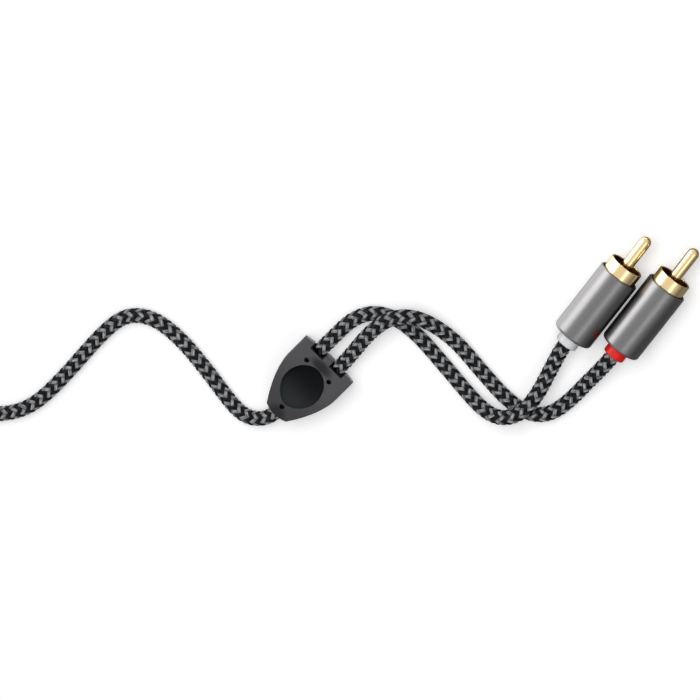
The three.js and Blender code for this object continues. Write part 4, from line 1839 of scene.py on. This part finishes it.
@dataclass
class Cable:
    """The whole cable, with the given routes of its cords."""

    rest: float = 2.15
    cross: float = 6.5
    plug_turn: float = 52.3
    white_rear: tuple[float, float] = (72.29, 14.49)
    red_lead: float = 5.4
    plug_spacing: float = 0.5
    jack_rear_along: float = 11.0
    splitter: Splitter = field(default_factory=Splitter)
    coil: Coil = field(default_factory=Coil)
    white: PhonoPlug = field(init=False)
    red: PhonoPlug = field(init=False)
    jack: JackPlug = field(init=False)

    def __post_init__(self) -> None:
        """Set out the plugs."""
        shell = {"bore": 5.05, "wall": 0.6, "length": 20.9}
        self.white = PhonoPlug(
            Marker.WHITE.value, self.white_rear, self.plug_turn, WHITE_PLASTIC, **shell
        )
        turn = math.radians(self.plug_turn)
        ahead = Vector((math.cos(turn), math.sin(turn)))
        beside = Vector((ahead.y, -ahead.x)) * (2 * self.white.radius + self.plug_spacing)
        red_rear = Vector(self.white_rear) + ahead * self.red_lead + beside
        self.red = PhonoPlug(
            Marker.RED.value, tuple(red_rear), self.plug_turn, RED_PLASTIC, **shell
        )
        jack_shell = {"bore": 3.7, "wall": 0.8, "length": 22.0}
        jack_radius = jack_shell["bore"] + jack_shell["wall"]
        left = self.coil.middle[0] - self.coil.outer_radius - self.coil.cord_radius
        jack_x = left - self.coil.tie_thickness - jack_radius - self.plug_spacing
        self.jack = JackPlug(
            "jack", (jack_x, self.jack_rear_along), 90.0, GREY_PLASTIC, **jack_shell
        )

    def trunk(self) -> Cord:
        """Route the trunk: through the waves, round the coil and into the jack plug.

        Returns:
            The cord.
        """
        rest, line = self.rest, self.coil.line
        waves = [
            self.splitter.spot(self.splitter.entry - self.splitter.length / 2, 0),
            (-7.7, -7.7, 3.7), (-9.8, -9.3, 3.4), (-12.5, -10.1, 2.95), (-15.4, -9.9, 2.5),
            (-18.0, -8.6, 2.2), (-20.0, -6.6, rest), (-21.9, -4.2, rest),
            (-24.1, -1.2, rest), (-26.6, 2.2, rest),
            (-29.3, 5.6, rest), (-32.0, 8.9, rest), (-34.8, 11.8, rest), (-37.7, 14.3, rest),
            (-40.9, 16.3, rest), (-44.4, 17.4, rest), (-48.0, 17.3, rest), (-51.4, 15.7, rest),
            (-54.5, 13.1, rest), (-57.5, 10.1, rest), (-60.6, 6.7, rest), (-63.7, 3.2, rest),
            (-66.8, -0.1, rest), (-70.1, -3.4, rest), (-73.6, -6.4, rest), (-77.5, -8.7, rest),
            (-82.0, -10.0, rest), (-87.0, line, rest), (-92.0, line, rest), (-97.0, line, 2.6),
            (-104.0, line, 3.1), (-111.0, line, 3.2),
        ]
        tail = [
            (-123.5, -8.2, 7.5), (-129.0, -8.2, 7.5), (-135.5, -8.2, 7.5), (-140.0, -7.9, 7.3),
            (-144.3, -6.5, 6.8), (-148.0, -3.8, 6.1), (-151.2, -0.4, 5.4), (-153.6, 3.4, 4.8),
            self.jack.cord_end,
        ]
        corners = [*waves, *self.coil.corners(), *tail]
        nodes = ("trunk_cord", "trunk_coil", "trunk_tail")
        return Cord("trunk_braid", corners, nodes, Braid())

    def white_branch(self) -> Cord:
        """Route the branch to the white plug.

        Returns:
            The cord.
        """
        rest, cross = self.rest, self.cross
        corners = [
            self.splitter.spot(
                self.splitter.length / 2 - self.splitter.branch_entry,
                self.splitter.exit_spacing / 2,
            ),
            (6.4, 11.2, 3.6), (9.3, 14.1, 3.1), (12.2, 16.7, 2.5), (15.6, 18.5, rest),
            (19.2, 19.1, rest), (22.8, 18.4, rest), (26.2, 16.7, rest), (29.4, 14.2, rest),
            (32.5, 11.1, rest), (35.6, 7.5, rest), (38.8, 3.7, rest), (42.0, 0.0, 2.5),
            (45.1, -3.3, 3.3), (48.3, -6.0, 4.6), (51.8, -7.7, 5.8), (55.4, -7.7, cross),
            (58.7, -6.2, cross), (61.3, -3.6, 6.4), (63.6, -0.2, 5.7), (65.5, 3.4, 5.0),
            (67.4, 7.0, 4.8), (69.3, 10.5, 5.2), self.white.cord_end,
        ]
        return Cord("white_branch_braid", corners, ("white_branch_cord",), Braid(splits=5, phase=1))

    def red_branch(self) -> Cord:
        """Route the branch to the red plug.

        Returns:
            The cord.
        """
        rest, cross = self.rest, self.cross
        corners = [
            self.splitter.spot(
                self.splitter.length / 2 - self.splitter.branch_entry,
                -self.splitter.exit_spacing / 2,
            ),
            (11.4, 6.6, 4.0), (14.3, 10.0, 4.7), (17.2, 13.4, 5.7), (20.2, 16.2, 6.4),
            (23.6, 18.3, cross), (27.2, 19.2, cross), (30.8, 18.8, 6.3), (34.1, 17.3, 5.4),
            (37.2, 15.1, 4.2), (40.2, 12.4, 3.1), (43.2, 9.1, 2.4), (46.2, 5.4, rest),
            (49.3, 1.8, rest), (52.4, -1.7, rest), (55.7, -4.7, rest), (59.2, -6.9, rest),
            (62.9, -7.8, rest), (66.6, -6.9, rest), (69.9, -4.6, rest), (73.0, -1.7, 2.5),
            (75.8, 1.3, 3.2), (78.6, 4.2, 4.4), (81.5, 7.4, 5.4), self.red.cord_end,
        ]
        return Cord("red_branch_braid", corners, ("red_branch_cord",), Braid(splits=5, phase=1))

    def build(self) -> None:
        """Make the plugs, the splitter, the ties and the cords."""
        white, red, jack = self.white.build(), self.red.build(), self.jack.build()
        self.trunk().build([*jack, *self.coil.build()])
        self.white_branch().build(white)
        self.red_branch().build(red)
        self.splitter.build()


@dataclass
class Studio:
    """The camera, the floor and the light."""

    tilt: float = 15.0
    bearing: float = 50.0
    target: tuple[float, float, float] = (11.73, 8.54, 0.0)
    view_width: float = 187.2
    distance: float = 1500.0
    sensor: float = 36.0
    lamp_distance: float = 900.0
    key_bearing: float = 142.3
    ambient: float = 0.08
    mirrored: tuple[float, float] = (0.12, 0.9)
    paper: float = 0.3
    shown_paper: float = 0.85
    glow: float = 0.38
    gleam: float = 2.4
    gleam_edge: tuple[float, float] = (-43.0, -34.0)
    bright_slant: float = 45.0
    shade_span: tuple[float, float] = (-0.85, 0.4)
    floor_half: float = 4000.0
    clip: tuple[float, float] = (50.0, 20000.0)

    def camera(self) -> None:
        """Look down on the cable, tilted a little towards the plugs' openings."""
        back = self.way(self.bearing, self.tilt)
        data = bpy.data.cameras.new("camera")
        data.sensor_width = self.sensor
        data.lens = self.sensor * self.distance / self.view_width
        data.clip_start, data.clip_end = self.clip[0] * MM, self.clip[1] * MM
        camera = bpy.data.objects.new("camera", data)
        camera.rotation_mode = "QUATERNION"
        camera.rotation_quaternion = Vector((0, 0, 1)).rotation_difference(back)
        camera.location = (Vector(self.target) + back * self.distance) * MM
        bpy.context.scene.collection.objects.link(camera)
        bpy.context.scene.camera = camera

    @staticmethod
    def way(bearing: float, slant: float) -> Vector:
        """Give a direction.

        Args:
            bearing: Its turn from +X, in degrees.
            slant: Its angle from straight up, in degrees.

        Returns:
            The unit vector.
        """
        turn, lean = math.radians(bearing), math.radians(slant)
        return Vector((
            math.sin(lean) * math.cos(turn), math.sin(lean) * math.sin(turn), math.cos(lean),
        ))

    def lamp(
        self, name: str, bearing: float, slant: float, size: Sequence[float], level: float
    ) -> bpy.types.Object:
        """Hang a soft box that faces the cable.

        Args:
            name: Its name.
            bearing: Its direction from the target, in degrees from +X.
            slant: Its angle from straight above, in degrees.
            size: Its width and height, in millimetres.
            level: Its brightness, where 1 is white.

        Returns:
            The lamp.
        """
        way = self.way(bearing, slant)
        data = bpy.data.lights.new(name, "AREA")
        data.shape, data.size, data.size_y = "RECTANGLE", size[0] * MM, size[1] * MM
        data.energy = level * math.pi * data.size * data.size_y
        lamp = bpy.data.objects.new(name, data)
        lamp.location = (Vector(self.target) + way * self.lamp_distance) * MM
        lamp.rotation_mode = "QUATERNION"
        lamp.rotation_quaternion = way.to_track_quat("Z", "Y")
        bpy.context.scene.collection.objects.link(lamp)
        return lamp

    def world(self) -> None:
        """Make the world: white to the camera, shaded to metal, and plain light on the rest."""
        world = bpy.data.worlds.new("studio")
        bpy.context.scene.world = world
        world.use_nodes = True
        graph = Graph(world.node_tree)
        path = graph.node("ShaderNodeLightPath").outputs
        clear = Signal(graph, path["Is Camera Ray"]) + Signal(graph, path["Is Transmission Ray"])
        plain, dark, pale, white = (
            graph.node("ShaderNodeBackground", None, {"Color": (1, 1, 1), "Strength": level})
            for level in (self.ambient, self.mirrored[0], self.mirrored[1], 1.0)
        )
        bright_side = graph.node("ShaderNodeVectorMath", {"operation": "DOT_PRODUCT"}, {
            0: graph.node("ShaderNodeTexCoord").outputs["Generated"],
            1: self.way(self.key_bearing, self.bright_slant),
        }).outputs["Value"]
        mirrored = graph.mixed(graph.eased(bright_side, *self.shade_span), dark, pale)
        lit = graph.mixed(path["Is Glossy Ray"], plain, mirrored)
        seen = graph.mixed(clear, lit, white)
        graph.node("ShaderNodeOutputWorld", None, {"Surface": seen.outputs[0]})

    def floor(self) -> None:
        """Lay the white floor, which still takes the cable's soft shadow; its key side glows only in
        reflections.
        """
        half = self.floor_half * MM
        mesh = bpy.data.meshes.new("floor")
        mesh.from_pydata(
            [(-half, -half, 0), (half, -half, 0), (half, half, 0), (-half, half, 0)],
            [], [(0, 1, 2, 3)],
        )
        floor = bpy.data.objects.new("floor", mesh)
        bpy.context.scene.collection.objects.link(floor)
        material = bpy.data.materials.new("white_floor")
        material.use_nodes = True
        graph = Graph(material.node_tree)
        path = graph.node("ShaderNodeLightPath").outputs
        paper, shown_paper = (
            graph.node("ShaderNodeBsdfDiffuse", None, {"Color": (level,) * 3})
            for level in (self.paper, self.shown_paper)
        )
        glow, gleam = (
            graph.node("ShaderNodeEmission", None, {"Color": (1, 1, 1), "Strength": level})
            for level in (self.glow, self.gleam)
        )
        glowing = graph.node(
            "ShaderNodeAddShader", None, {0: shown_paper.outputs[0], 1: glow.outputs[0]}
        )
        # Painted reflection: the floor glows brightly on the key's side, but only glossy rays see it,
        # so metal shows a highlight there
        left = graph.node("ShaderNodeVectorMath", {"operation": "DOT_PRODUCT"}, {
            0: graph.node("ShaderNodeTexCoord").outputs["Object"],
            1: self.way(self.key_bearing, 90),
        }).outputs["Value"]
        lit = graph.eased(left, *(edge * MM for edge in self.gleam_edge))
        gleaming = graph.mixed(Signal(graph, path["Is Glossy Ray"]) * lit, paper, gleam)
        surface = graph.mixed(path["Is Camera Ray"], gleaming, glowing)
        graph.node("ShaderNodeOutputMaterial", None, {"Surface": surface.outputs[0]})
        mesh.materials.append(material)

    def build(self) -> None:
        """Set up the camera, the light and the floor."""
        self.camera()
        key = self.lamp("key", self.key_bearing, slant=66, size=(800, 700), level=4.0)
        key.visible_diffuse = False
        self.lamp("fill", self.key_bearing - 180, slant=30, size=(900, 260), level=1.4)
        top = self.lamp("top", bearing=100, slant=16, size=(800, 800), level=3.2)
        top.visible_glossy = False
        self.world()
        self.floor()
        bpy.context.scene.view_settings.view_transform = "Standard"


def main() -> None:
    """Build the studio and the cable."""
    logging.basicConfig(level=logging.INFO, format="%(message)s")
    Studio().build()
    Cable().build()


if __name__ == "__main__":
    main()
